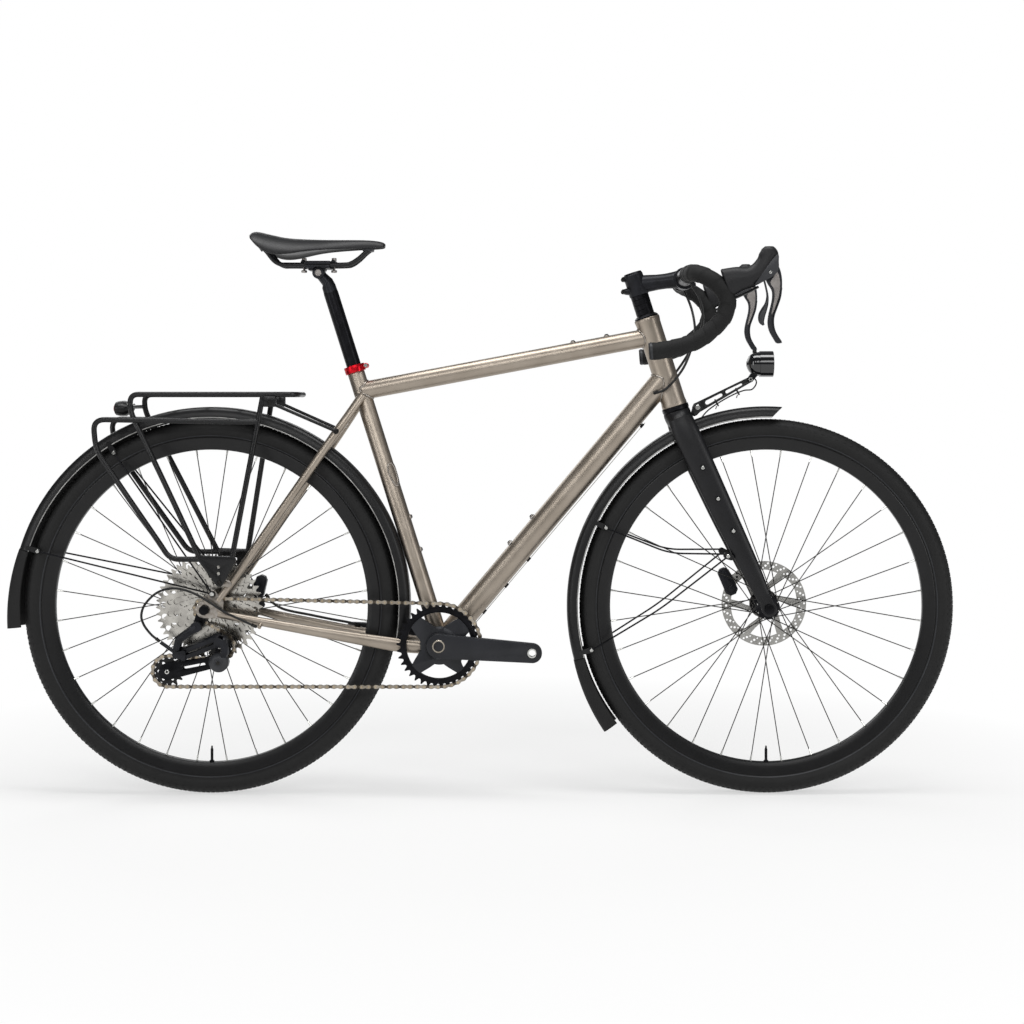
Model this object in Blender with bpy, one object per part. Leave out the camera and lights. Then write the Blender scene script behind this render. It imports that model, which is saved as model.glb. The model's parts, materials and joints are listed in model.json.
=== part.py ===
"""Touring gravel bike: frame, steering, wheels, drive train, rack, fenders and lamps.

X points forward, Z up, and the drive side faces -Y. The origin is the centre of the bottom
bracket. Sizes are in millimetres until a mesh is made.
"""

import math

import bmesh
import bpy
from mathutils import Matrix, Vector

MM = 0.001
GAP = 0.3

# Wheels and frame
REAR_AXLE = (-428.6, 68.0)
FRONT_AXLE = (608.4, 68.0)
TYRE_RADIUS = 350.0
TYRE_HALF = 20.0
RIM_INNER = 292.0
RIM_OUTER = 315.0
RIM_SEGMENTS = 32
SPOKES = 32
SPOKE_DIAMETER = 1.7
AXLE_RADIUS = 6.0
ROTOR_RADIUS = 80.0
SEAT_ANGLE = math.radians(72.5)
SEAT_TUBE_LENGTH = 536.0
SEAT_TUBE_RADIUS = 15.9
SEATPOST_RADIUS = 13.6
HEAD_ANGLE = math.radians(72.3)
HEAD_TOP = (385.1, 605.8)
HEAD_LENGTH = 172.6
HEAD_RADIUS = 23.0
TOP_TUBE_RADIUS = 17.0
TOP_TUBE_ENDS = ((-148.0, 469.7), (396.0, 571.4))
DOWN_TUBE_RADIUS = 22.0
DOWN_TUBE_ENDS = ((3.8, 0.0), (420.2, 495.9))
SHELL_RADIUS = 21.0
SHELL_HALF = 36.5

# Drive train
PITCH = 12.7
CHAINRING_TEETH = 38
CHAINRING_Y = -47.5
COGS = (10, 11, 12, 13, 14, 16, 18, 21, 25, 30, 36, 42, 48)
SMALL_COG_Y = -62.5
COG_SPACING = 3.15
COG_HALF = 0.6
CARRIER_SMALL = 14.5
CARRIER_LARGE = 19.6
CARRIER_SIDES = 10
BORE_SMALL = 12.6
BORE_LARGE = 17.8
BORE_STEP_Y = -56.3
CHAIN_INNER_HALF = 1.1
STRAIGHT_LINKS = 2
CHAIN_OUTER_HALF = 2.1
UPPER_PULLEY = (-400.0, 0.0)
UPPER_PULLEY_TEETH = 12
LOWER_PULLEY = (-497.4, -45.6)
LOWER_PULLEY_TEETH = 14
CRANK_LENGTH = 172.5
CRANK_ANGLE = math.radians(-3.5)
CAGE_PIVOT = (-399.3, -26.1)
B_BOLT = (-440.6, 38.4)

# Derailleur travel from the smallest cog to the largest
SHIFT_TRAVEL = Vector((-8.0, 37.8, -62.0))
LINK_REACH = 60.0
LINK_SPREAD = 16.0
KNUCKLE_PIVOT = Vector((-402.0, -93.5, 14.0))

SEAT_DIRECTION = Vector((-math.cos(SEAT_ANGLE), 0.0, math.sin(SEAT_ANGLE)))
HEAD_DIRECTION = Vector((-math.cos(HEAD_ANGLE), 0.0, math.sin(HEAD_ANGLE)))
HEAD_TOP_POINT = Vector((HEAD_TOP[0], 0.0, HEAD_TOP[1]))
HEAD_LOW_POINT = HEAD_TOP_POINT - HEAD_DIRECTION * HEAD_LENGTH

TITANIUM = ("titanium", (0.42, 0.39, 0.35), 0.32, 1.0)
BLACK_METAL = ("black_metal", (0.02, 0.02, 0.022), 0.4, 0.6)
CARBON = ("matte_carbon", (0.016, 0.016, 0.018), 0.5, 0.0)
RUBBER = ("rubber", (0.018, 0.018, 0.018), 0.8, 0.0)
PLASTIC = ("black_plastic", (0.02, 0.02, 0.02), 0.5, 0.0)
GLOSS = ("gloss_black", (0.012, 0.012, 0.014), 0.12, 0.0)
RED = ("red_anodised", (0.55, 0.02, 0.03), 0.3, 0.8)
STEEL = ("steel", (0.5, 0.5, 0.49), 0.3, 1.0)
CHAIN_STEEL = ("chain_steel", (0.36, 0.31, 0.25), 0.35, 1.0)
TAPE = ("bar_tape", (0.02, 0.02, 0.02), 0.85, 0.0)
LEATHER = ("saddle_cover", (0.018, 0.018, 0.019), 0.6, 0.0)

for stray in list(bpy.data.objects):
    bpy.data.objects.remove(stray)

NODES = {}


def flat(x, z, y=0.0):
    """A point given by its place in the side view and its depth."""
    return Vector((x, y, z))


def material(finish):
    """The Principled material of a finish, made once."""
    name, colour, roughness, metallic = finish
    found = bpy.data.materials.get(name)
    if found:
        return found
    made = bpy.data.materials.new(name)
    made.use_nodes = True
    shader = made.node_tree.nodes["Principled BSDF"]
    shader.inputs["Base Color"].default_value = (*colour, 1.0)
    shader.inputs["Roughness"].default_value = roughness
    shader.inputs["Metallic"].default_value = metallic
    return made


def mesh_object(vertices, faces):
    """An object from points in millimetres, with its faces turned outwards."""
    mesh = bpy.data.meshes.new("shape")
    mesh.from_pydata([Vector(v) * MM for v in vertices], [], faces)
    shape = bmesh.new()
    shape.from_mesh(mesh)
    bmesh.ops.recalc_face_normals(shape, faces=shape.faces)
    shape.to_mesh(mesh)
    shape.free()
    made = bpy.data.objects.new("shape", mesh)
    bpy.context.collection.objects.link(made)
    return made


def skinned(rings, closed=False):
    """Faces between rings of points, with a cap at each end or the last ring joined to the first."""
    count = len(rings[0])
    vertices = [point for ring in rings for point in ring]
    faces = []
    spans = len(rings) if closed else len(rings) - 1
    for i in range(spans):
        low = i * count
        high = (i + 1) % len(rings) * count
        for j in range(count):
            k = (j + 1) % count
            faces.append((low + j, low + k, high + k, high + j))
    if not closed:
        faces.append(tuple(range(count)))
        faces.append(tuple(range(len(vertices) - count, len(vertices))))
    return mesh_object(vertices, faces)


def circle(radius, sides, turn=0.0):
    """Points of a circle as (u, v) pairs."""
    step = math.tau / sides
    return [(radius * math.cos(i * step + turn), radius * math.sin(i * step + turn)) for i in range(sides)]


def swept(points, section, side=(0, 1, 0), closed=False):
    """A section carried along a path; a list of sections changes from point to point."""
    points = [Vector(p) for p in points]
    across = Vector(side).normalized()
    if abs((points[1] - points[0]).normalized().dot(across)) > 0.9:
        across = Vector((1, 0, 0))
    last = len(points) - 1
    rings = []
    for i, point in enumerate(points):
        before = points[i - 1] if i or closed else point
        after = points[(i + 1) % len(points)] if i < last or closed else point
        ahead = (after - before).normalized()
        across = (across - ahead * across.dot(ahead)).normalized()
        up = ahead.cross(across)
        outline = section[i] if isinstance(section[0][0], (list, tuple)) else section
        rings.append([point + across * u + up * v for u, v in outline])
    return skinned(rings, closed)


def tube(points, radius, sides=10):
    """A round tube; a list of radii tapers it."""
    if isinstance(radius, (list, tuple)):
        return swept(points, [circle(r, sides) for r in radius])
    return swept(points, circle(radius, sides))


def smooth_path(points, steps=4):
    """Points of a smooth curve through the given ones."""
    points = [Vector(p) for p in points]
    ends = [points[0] * 2 - points[1], *points, points[-1] * 2 - points[-2]]
    path = []
    for i in range(1, len(ends) - 2):
        a, b, c, d = ends[i - 1 : i + 3]
        for j in range(steps):
            t = j / steps
            path.append(
                0.5 * (2 * b + (c - a) * t + (2 * a - 5 * b + 4 * c - d) * t * t
                       + (3 * b - a - 3 * c + d) * t ** 3)
            )
    path.append(points[-1])
    return path


def turned(profile, centre, axis=(0, 1, 0), sides=24, ring=True, phase=0.0):
    """A profile of (radius, height) pairs turned about an axis, closed on itself or capped."""
    axis = Vector(axis).normalized()
    start = Vector((1, 0, 0)) if abs(axis.x) < 0.9 else Vector((0, 0, 1))
    u = (start - axis * start.dot(axis)).normalized()
    v = axis.cross(u)
    centre = Vector(centre)
    rings = []
    for radius, height in profile:
        rings.append([centre + axis * height + u * a + v * b for a, b in circle(radius, sides, phase)])
    return skinned(rings, ring)


def rod(start, end, radius, sides=12):
    """A plain cylinder between two points."""
    return tube([start, end], radius, sides)


def filled(loops):
    """Triangles that fill an outline with its holes, by point number."""
    flat_mesh = bmesh.new()
    edges = []
    for loop in loops:
        ring = [flat_mesh.verts.new((x, 0.0, z)) for x, z in loop]
        edges += [flat_mesh.edges.new((ring[i - 1], ring[i])) for i in range(len(ring))]
    flat_mesh.verts.index_update()
    bmesh.ops.triangle_fill(flat_mesh, edges=edges, use_beauty=True)
    faces = [tuple(v.index for v in face.verts) for face in flat_mesh.faces]
    flat_mesh.free()
    return faces


def plate(loops, low, high):
    """An outline in the side view with holes, given thickness between two depths."""
    faces = filled(loops)
    points = [point for loop in loops for point in loop]
    count = len(points)
    vertices = [(x, low, z) for x, z in points] + [(x, high, z) for x, z in points]
    skins = list(faces) + [tuple(i + count for i in reversed(face)) for face in faces]
    first = 0
    for loop in loops:
        for i in range(len(loop)):
            a = first + i
            b = first + (i + 1) % len(loop)
            skins.append((a, b, b + count, a + count))
        first += len(loop)
    return mesh_object(vertices, skins)


def around(centre, radius, sides, turn=0.0):
    """A circle about a point of the side view."""
    return [(centre[0] + u, centre[1] + v) for u, v in circle(radius, sides, turn)]


def hull(circles, sides=16):
    """The outline of a belt round several circles, each given as (x, z, radius)."""
    cloud = sorted({point for x, z, r in circles for point in around((x, z), r, sides)})

    def half(points):
        chain = []
        for p in points:
            while len(chain) > 1:
                (ax, az), (bx, bz) = chain[-2:]
                if (bx - ax) * (p[1] - az) - (bz - az) * (p[0] - ax) > 1e-6:
                    break
                chain.pop()
            chain.append(p)
        return chain[:-1]

    return half(cloud) + half(reversed(cloud))


def box(low, high):
    """A block between two corners."""
    (x0, y0, z0), (x1, y1, z1) = low, high
    return skinned([[(x0, y0, z0), (x1, y0, z0), (x1, y1, z0), (x0, y1, z0)],
                    [(x0, y0, z1), (x1, y0, z1), (x1, y1, z1), (x0, y1, z1)]])


def merged(shapes):
    """Several shapes put into one mesh without joining their surfaces."""
    shape = bmesh.new()
    for each in shapes:
        shape.from_mesh(each.data)
    mesh = bpy.data.meshes.new("shape")
    shape.to_mesh(mesh)
    shape.free()
    for each in shapes:
        bpy.data.objects.remove(each)
    made = bpy.data.objects.new("shape", mesh)
    bpy.context.collection.objects.link(made)
    return made


def combined(base, tools, operation, self_crossing=False):
    """The first shape joined with the others, or cut by them."""
    tool = merged(tools)
    change = base.modifiers.new("boolean", "BOOLEAN")
    change.operation = operation
    change.solver = "EXACT"
    change.use_self = self_crossing or len(tools) > 1
    change.object = tool
    depsgraph = bpy.context.evaluated_depsgraph_get()
    result = bpy.data.meshes.new_from_object(base.evaluated_get(depsgraph))
    base.modifiers.clear()
    base.data = result
    bpy.data.objects.remove(tool)
    return base


def fused(*shapes):
    """One solid from several that overlap."""
    return combined(shapes[0], list(shapes[1:]), "UNION")


def cut(base, *tools):
    """The first solid with the others taken out of it."""
    return combined(base, list(tools), "DIFFERENCE")


def moved(shape, matrix):
    """The same shape with its points moved; the matrix is in millimetres."""
    matrix = matrix.copy()
    matrix.translation *= MM
    shape.data.transform(matrix)
    return shape


def node(name, shape, finish, smooth=True):
    """Names a finished solid and gives it its material."""
    shape.name = name
    shape.data.name = name
    shape.data.materials.clear()
    shape.data.materials.append(material(finish))
    if smooth:
        shape.data.shade_smooth()
        shape.data.set_sharp_from_angle(angle=math.radians(35))
    NODES[name] = shape
    return shape


def mirrored(points):
    """The same points on the other side of the centre plane."""
    return [Vector((p[0], -p[1], p[2])) for p in points]


def polar(centre, radius, degrees, y=0.0):
    """A point at an angle about a wheel's axle, counted from forward to up."""
    angle = math.radians(degrees)
    return flat(centre[0] + radius * math.cos(angle), centre[1] + radius * math.sin(angle), y)


# Frame

SEAT_TUBE_TOP = SEAT_DIRECTION * SEAT_TUBE_LENGTH
DOWN_DIRECTION = (flat(*DOWN_TUBE_ENDS[1]) - flat(*DOWN_TUBE_ENDS[0])).normalized()
TOP_DIRECTION = (flat(*TOP_TUBE_ENDS[1]) - flat(*TOP_TUBE_ENDS[0])).normalized()
BOSS_RADIUS = 4.5
BOSS_HEIGHT = 3.5
BORE_GAP = 0.3
CHAINSTAY = ((2, -29, -8), (-50, -33, -4.5), (-95, -35.4, 1.5), (-165, -40.5, 14), (-300, -58, 40),
             (-404, -74.5, 61))
CHAINSTAY_SIZES = ((9, 11), (8, 12), (7, 12.5), (8.5, 11), (8, 8.5), (5.5, 7))
SEATSTAY = ((-146, -16, 461), (-165, -25, 432), (-195, -35, 388), (-280, -49, 264), (-366, -62, 138.5),
            (-404, -74, 84))
SEATSTAY_RADII = (8, 8, 8, 8, 7.5, 6)
DROPOUT_NEAR = 71.3
DROPOUT_FAR = 77.0
STAY_EYELET = (-413.0, 98.0)
RACK_BOSS = (-398.0, 119.0)


def ellipse(across, up, sides=8):
    """Points of an ellipse as (u, v) pairs."""
    return [(across * c, up * s) for c, s in circle(1.0, sides)]


def seat_tube_cutter():
    """The seat tube with its clearance, for mitring its neighbours."""
    return rod(SEAT_DIRECTION * -60, SEAT_TUBE_TOP + SEAT_DIRECTION * 60, SEAT_TUBE_RADIUS + GAP, 14)


def shell_cutter():
    """The bottom bracket shell with its clearance."""
    return rod((0, -60, 0), (0, 60, 0), SHELL_RADIUS + GAP, 16)


def head_tube_cutter():
    """The head tube with its clearance."""
    end = HEAD_LENGTH
    profile = [(HEAD_RADIUS + 1 + GAP, -40), (HEAD_RADIUS + 1 + GAP, 0), (HEAD_RADIUS + GAP, 9),
               (HEAD_RADIUS + GAP, end - 9), (HEAD_RADIUS + 1 + GAP, end), (HEAD_RADIUS + 1 + GAP, end + 40)]
    return turned(profile, HEAD_LOW_POINT, HEAD_DIRECTION, 16, ring=False)


def boss(root, direction, reach):
    """A threaded boss that stands out of a tube."""
    return rod(root, root + direction * (reach + BOSS_HEIGHT), BOSS_RADIUS, 6)


def make_head_tube():
    """The head tube with its flared ends and bore."""
    end = HEAD_LENGTH
    profile = [(HEAD_RADIUS + 1, 0), (HEAD_RADIUS, 9), (HEAD_RADIUS, end - 9),
               (HEAD_RADIUS + 1, end), (18.5, end), (18.5, 0)]
    return node("head_tube", turned(profile, HEAD_LOW_POINT, HEAD_DIRECTION, 16), TITANIUM)


def make_top_tube():
    """The top tube, mitred to the seat and head tubes, with two bosses on top."""
    start, end = (flat(*p) for p in TOP_TUBE_ENDS)
    up = Vector((-TOP_DIRECTION.z, 0, TOP_DIRECTION.x))
    bosses = [boss(start + TOP_DIRECTION * along, up, TOP_TUBE_RADIUS) for along in (405.0, 469.0)]
    tube_shape = fused(rod(start, end, TOP_TUBE_RADIUS, 14), *bosses)
    return node("top_tube", cut(tube_shape, seat_tube_cutter(), head_tube_cutter()), TITANIUM)


def make_down_tube():
    """The down tube, mitred to the shell, seat tube and head tube, with its bottle bosses."""
    start, end = (flat(*p) for p in DOWN_TUBE_ENDS)
    up = Vector((-DOWN_DIRECTION.z, 0, DOWN_DIRECTION.x))
    bosses = [boss(DOWN_DIRECTION * along, up, DOWN_TUBE_RADIUS) for along in (225.0, 289.0)]
    bosses += [boss(DOWN_DIRECTION * along, -up, DOWN_TUBE_RADIUS) for along in (96.0, 160.0, 224.0)]
    tube_shape = fused(rod(start, end, DOWN_TUBE_RADIUS, 16), *bosses)
    mitres = (seat_tube_cutter(), head_tube_cutter(), shell_cutter())
    return node("down_tube", cut(tube_shape, *mitres), TITANIUM)


def make_seat_tube():
    """The seat tube, bored from its top for the seatpost, with two bottle bosses in front."""
    front = Vector((SEAT_DIRECTION.z, 0, -SEAT_DIRECTION.x))
    bosses = [boss(SEAT_DIRECTION * along, front, SEAT_TUBE_RADIUS) for along in (177.0, 241.0)]
    outer = fused(rod((0, 0, 0), SEAT_TUBE_TOP, SEAT_TUBE_RADIUS, 14), *bosses)
    bore = rod(SEAT_DIRECTION * 190, SEAT_TUBE_TOP + SEAT_DIRECTION * 10, SEATPOST_RADIUS + BORE_GAP, 14)
    return node("seat_tube", cut(outer, bore, shell_cutter()), TITANIUM)


def make_bottom_bracket():
    """The shell with its two threaded cups, bored for the spindle."""
    cup = SHELL_RADIUS - 1.5
    half = [(SHELL_RADIUS, SHELL_HALF), (cup, SHELL_HALF), (cup, SHELL_HALF + 5), (12.9, SHELL_HALF + 5)]
    profile = half + [(radius, -y) for radius, y in reversed(half)]
    return node("bottom_bracket", turned(profile, (0, 0, 0), (0, 1, 0), 16), TITANIUM)


def dropout(side):
    """A dropout plate with its axle hole; the near one carries the hanger."""
    loop = hull([(*REAR_AXLE, 15), (-400, 82, 7), (-402, 60, 7), (*STAY_EYELET, 7)], 10)
    low, high = sorted((side * DROPOUT_NEAR, side * DROPOUT_FAR))
    shape = plate([loop], low, high)
    if side < 0:
        hanger = plate([hull([(*REAR_AXLE, 12), (*B_BOLT, 9)], 10)], low, high - 0.7)
        shape = fused(shape, hanger)
    return shape


def make_rear_triangle():
    """Chainstays, seatstays, dropouts and bridges, welded into one piece."""
    sections = [ellipse(a, u) for a, u in CHAINSTAY_SIZES]
    stays = [swept(path, sections) for path in (CHAINSTAY, mirrored(CHAINSTAY))]
    stays += [tube(path, SEATSTAY_RADII, 8) for path in (SEATSTAY, mirrored(SEATSTAY))]
    bridges = [rod((-181, -29, 410), (-181, 29, 410), 6, 6), rod((-49, -32, -4), (-49, 32, -4), 5, 6)]
    cable_stop = rod((-325, -62, 45), (-328, -74.5, 36), 3.6, 6)
    boss_loop = hull([(*RACK_BOSS, 6), (-384, 116, 6)], 8)
    rack_bosses = [plate([boss_loop], *sorted((s * 66, s * 79.5))) for s in (-1, 1)]
    shape = fused(dropout(-1), dropout(1), *stays, *bridges, cable_stop, *rack_bosses)
    bore = rod(flat(*REAR_AXLE, -90), flat(*REAR_AXLE, 90), AXLE_RADIUS + GAP + 0.2, 10)
    return node("rear_triangle", cut(shape, seat_tube_cutter(), shell_cutter(), bore), TITANIUM)


def make_seat_clamp():
    """The clamp round the seat tube's top, with a slot and a bolt lug in front."""
    low = SEAT_TUBE_LENGTH - 7
    band = turned([(19.5, 0), (19.5, 13), (16.3, 13), (16.3, 0)], SEAT_DIRECTION * low, SEAT_DIRECTION, 14)
    front = Vector((SEAT_DIRECTION.z, 0, -SEAT_DIRECTION.x))
    middle = SEAT_DIRECTION * (low + 6.5)
    lug = rod(middle + front * 22 - Vector((0, 9, 0)), middle + front * 22 + Vector((0, 9, 0)), 5, 8)
    neck = rod(middle + front * 16, middle + front * 23, 5, 6)
    slot = moved(box((10, -0.7, -9), (40, 0.7, 9)), Matrix.Translation(middle) @ seat_turn())
    bore = rod(SEAT_DIRECTION * (low - 5), SEAT_DIRECTION * (low + 20), 16.3, 14)
    return node("seat_clamp", cut(fused(band, lug, neck), slot, bore), RED)


def seat_turn():
    """The turn that leans an upright piece with the seat tube."""
    return Matrix.Rotation(SEAT_ANGLE - math.pi / 2, 4, "Y")


def make_headset():
    """The lower headset cup outside the head tube."""
    profile = [(24.5, -9.5), (25.5, -7), (25.5, -GAP), (17, -GAP), (17, -9.5)]
    return node("headset_cup", turned(profile, HEAD_LOW_POINT, HEAD_DIRECTION, 16), BLACK_METAL)


# Steering

FORK_LEG = ((446, 34, 418), (456, 40, 393), (480, 44, 342), (530, 50, 234), (575, 54, 140), (601, 55.5, 84))
FORK_SIZES = ((14, 23), (12, 24.5), (11.5, 24), (9.5, 21.5), (7, 17.5), (4.7, 13))
FORK_BOSSES = ((486, 328), (514, 271), (542, 212))
CROWN_DROP = 9.8
STEM_LOW = 45.0
STEM_HIGH = 86.0
STEERER_RADIUS = 14.3
BAR_CLAMP = (455.0, 679.5)
BAR_RADIUS = 15.9
BAR_PATH = ((455, 0, 679.5), (455, -70, 679.5), (455, -110, 679.5), (456, -150, 679), (461, -184, 677.5),
            (473, -204, 673), (490, -210, 664), (508, -210, 648), (518, -210, 626), (511, -210, 599),
            (492, -210, 577.5), (468, -210, 559), (438, -210, 547.4), (404, -210, 540), (380, -210, 538))
BAR_RADII = (15.9, 15.9, 13, 12, 12, 12, 12, 12, 12, 12, 12, 12, 12, 12, 12)
TAPE_RADIUS = 16.0
TAPE_FIRST = 2
HOOD_PATH = ((500, 664), (524, 676), (548, 684), (567, 690), (580, 703), (590, 723))
HOOD_SIZES = ((14, 19), (15, 17), (16, 17), (15, 17), (11, 14), (6, 7))
HOOD_Y = -210.0
LEVER_PIVOT = (592.0, 676.0)
BLADE_PATH = ((602, 694), (608, 676), (612, 650), (606, 622), (600, 600), (601, 577), (608, 554))
BLADE_SIZES = ((4, 5), (5, 7), (6, 6), (6, 5), (6, 4), (6, 4), (4, 3))
PADDLE_Z = 669.0
PADDLE_PATH = ((581.5, 665), (586, 642), (584, 615), (580, 592))
FENDER_HALF = 25.0
FENDER_DEPTH = 20.0
REAR_FENDER_RADIUS = 372.0
FRONT_FENDER_RADIUS = 373.0
LAMP_PIVOT = (579.0, 491.3)
LAMP_CENTRE = (597.0, 520.0)
ARM_ROOT = (480.0, 438.6)


def along_head(distance):
    """A point on the steering axis above the head tube's top."""
    return HEAD_TOP_POINT + HEAD_DIRECTION * distance


def sized(pairs, sides=8):
    """An ellipse for each (across, up) pair."""
    return [ellipse(a, u, sides) for a, u in pairs]


def make_fork():
    """Steerer, crown, two tapering blades with cargo bosses, and the dropouts."""
    crown_top = HEAD_LOW_POINT - HEAD_DIRECTION * CROWN_DROP
    steerer = rod(crown_top - HEAD_DIRECTION * 12, along_head(STEM_HIGH - 4), STEERER_RADIUS, 12)
    crown = swept([crown_top, crown_top - HEAD_DIRECTION * 8, crown_top - HEAD_DIRECTION * 23],
                  sized(((24.5, 24.5), (30, 25), (46, 23)), 12))
    blades = [swept(path, sized(FORK_SIZES, 8)) for path in (FORK_LEG, mirrored(FORK_LEG))]
    end_loop = hull([(*FRONT_AXLE, 14), (601, 86, 11)], 10)
    ends = [plate([end_loop], *sorted((s * 50.4, s * 60))) for s in (-1, 1)]
    bosses = []
    for i, (x, z) in enumerate(FORK_BOSSES):
        outer = 58.5 + 2.6 * i
        bosses += [rod((x, s * 45, z), (x, s * outer, z), 5, 5) for s in (-1, 1)]
    shape = fused(steerer, crown, *blades, *ends, *bosses)
    axle = rod(flat(*FRONT_AXLE, -80), flat(*FRONT_AXLE, 80), AXLE_RADIUS + GAP + 0.2, 10)
    return node("fork", cut(shape, axle), CARBON)


def make_stem():
    """Headset top cap, spacers, the stem with its bar clamp, and the steerer's cap."""
    pile = turned([(22.5, GAP), (22.5, 3), (17, 7), (17, STEM_LOW), (18.5, STEM_LOW), (18.5, STEM_HIGH),
                   (16, STEM_HIGH + 3), (5, STEM_HIGH + 3.5)], HEAD_TOP_POINT, HEAD_DIRECTION, 14, ring=False)
    root = along_head(65.5)
    clamp = flat(*BAR_CLAMP)
    arm = tube([root, clamp], [15, 14], 10)
    ring = rod((clamp.x, -22, clamp.z), (clamp.x, 22, clamp.z), 20.5, 14)
    bolts = [rod(root + Vector((-24, -13, up)), root + Vector((-24, 13, up)), 4, 6) for up in (-13, 10)]
    lugs = [tube([root + Vector((0, 0, up * 0.8)), root + Vector((-25, 0, up))], [9, 6], 6)
            for up in (-13, 10)]
    shape = fused(pile, arm, ring, *lugs, *bolts)
    bores = [rod(along_head(-5), along_head(STEM_HIGH - 3), STEERER_RADIUS + GAP + 0.3, 12),
             rod((clamp.x, -40, clamp.z), (clamp.x, 40, clamp.z), BAR_RADIUS + GAP + 0.3, 12)]
    return node("stem", cut(shape, *bores), BLACK_METAL)


def bar_side(side, first=0):
    """The bar's centre line on one side, from a point of the path outwards."""
    return [Vector((x, -side * y, z)) for x, y, z in BAR_PATH[first:]]


def make_handlebar():
    """The bar's bare middle: thick at the clamp, tapered where the tape starts."""
    half = bar_side(1)[: TAPE_FIRST + 1]
    half[-1] = half[-1] - Vector((0, 1.0, 0))
    path = half[::-1] + mirrored(half[1:])
    radii = list(BAR_RADII[TAPE_FIRST::-1]) + list(BAR_RADII[1 : TAPE_FIRST + 1])
    return node("handlebar", tube(path, radii, 12), BLACK_METAL)


def make_tape(side, name):
    """One bent half of the bar in its wrapped tape, down to the end plug."""
    path = bar_side(side, TAPE_FIRST)
    radii = [TAPE_RADIUS] * len(path)
    radii[-1] = TAPE_RADIUS - 2
    return node(name, tube(path, radii, 10), TAPE)


def make_hood(side, name):
    """A lever body with its hood, clamped on the bar, slotted for the brake lever."""
    y = -side * HOOD_Y
    body = swept([(x, y, z) for x, z in HOOD_PATH], sized(HOOD_SIZES, 10))
    cheeks = plate([hull([(*LEVER_PIVOT, 8), (574, 685, 12)], 8)], y - 8.8, y + 8.8)
    slot = box((569, y - 5.2, 640), (630, y + 5.2, 694.5))
    tape = tube(bar_side(side, TAPE_FIRST)[:8], TAPE_RADIUS + GAP + 0.1, 10)
    pin = rod((LEVER_PIVOT[0], y - 8, LEVER_PIVOT[1]), (LEVER_PIVOT[0], y + 8, LEVER_PIVOT[1]), 2.5, 8)
    return node(name, fused(cut(fused(body, cheeks), slot, tape), pin), RUBBER)


def make_lever(side, name):
    """A brake lever: a root on its pivot and a blade that curves down in front of the bar."""
    y = -side * HOOD_Y
    blade = swept([(x, y, z) for x, z in BLADE_PATH], sized(BLADE_SIZES, 8))
    root = plate([hull([(*LEVER_PIVOT, 6.5), (604, 682, 7)], 8)], y - 4.5, y + 4.5)
    bore = rod((LEVER_PIVOT[0], y - 9, LEVER_PIVOT[1]), (LEVER_PIVOT[0], y + 9, LEVER_PIVOT[1]), 3.0, 8)
    shapes = [blade, root]
    if side < 0:
        shapes.append(rod((595, y, PADDLE_Z), (577, y, PADDLE_Z), 2, 6))
    return node(name, cut(fused(*shapes), bore), CARBON)


def make_paddle():
    """The shift paddle, hung on a pin behind the right brake lever."""
    path = [(x, HOOD_Y, z) for x, z in PADDLE_PATH]
    eye = rod((578.3, HOOD_Y, PADDLE_Z), (584.6, HOOD_Y, PADDLE_Z), 4.4, 8)
    bore = rod((570, HOOD_Y, PADDLE_Z), (590, HOOD_Y, PADDLE_Z), 2.4, 6)
    blade = swept(path, sized(((4, 2.5), (4, 2.5), (8, 2.5), (9, 2)), 8))
    return node("shift_paddle", cut(fused(eye, blade), bore), CARBON)


def fender_section(radius_in, wall=1.8):
    """The channel section of a fender as (radius, depth) pairs, hollow side inwards."""
    outer = radius_in + FENDER_DEPTH
    half = FENDER_HALF
    crown = half - 6
    return [(radius_in, -half), (outer, -crown), (outer, crown), (radius_in, half), (radius_in, half - wall),
            (outer - wall, crown - 1), (outer - wall, 1 - crown), (radius_in, wall - half)]


def curved_channel(centre, start, end, steps, grow=0.0, reach=0.0):
    """A fender channel along an arc; it may grow outwards towards its end."""
    rings = []
    for i in range(steps + 1):
        share = i / steps
        angle = start + (end - start) * share
        ring = []
        for radius, y in fender_section(reach - FENDER_DEPTH):
            outer = radius > reach - FENDER_DEPTH + 1
            ring.append(polar(centre, radius + (grow * share if outer else 0.0), angle, y))
        rings.append(ring)
    return skinned(rings)


def make_fenders():
    """Both fenders and their rubber flaps."""
    node("rear_fender", curved_channel(REAR_AXLE, -10, 163, 20, 0, REAR_FENDER_RADIUS), PLASTIC)
    node("rear_mudflap", curved_channel(REAR_AXLE, 163.06, 186.5, 3, 10, REAR_FENDER_RADIUS + 1), RUBBER)
    node("front_fender", curved_channel(FRONT_AXLE, 85.5, 195.5, 13, 0, FRONT_FENDER_RADIUS), PLASTIC)
    node("front_mudflap", curved_channel(FRONT_AXLE, 195.56, 218, 3, 10, FRONT_FENDER_RADIUS + 1), RUBBER)


# Touring parts

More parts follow.
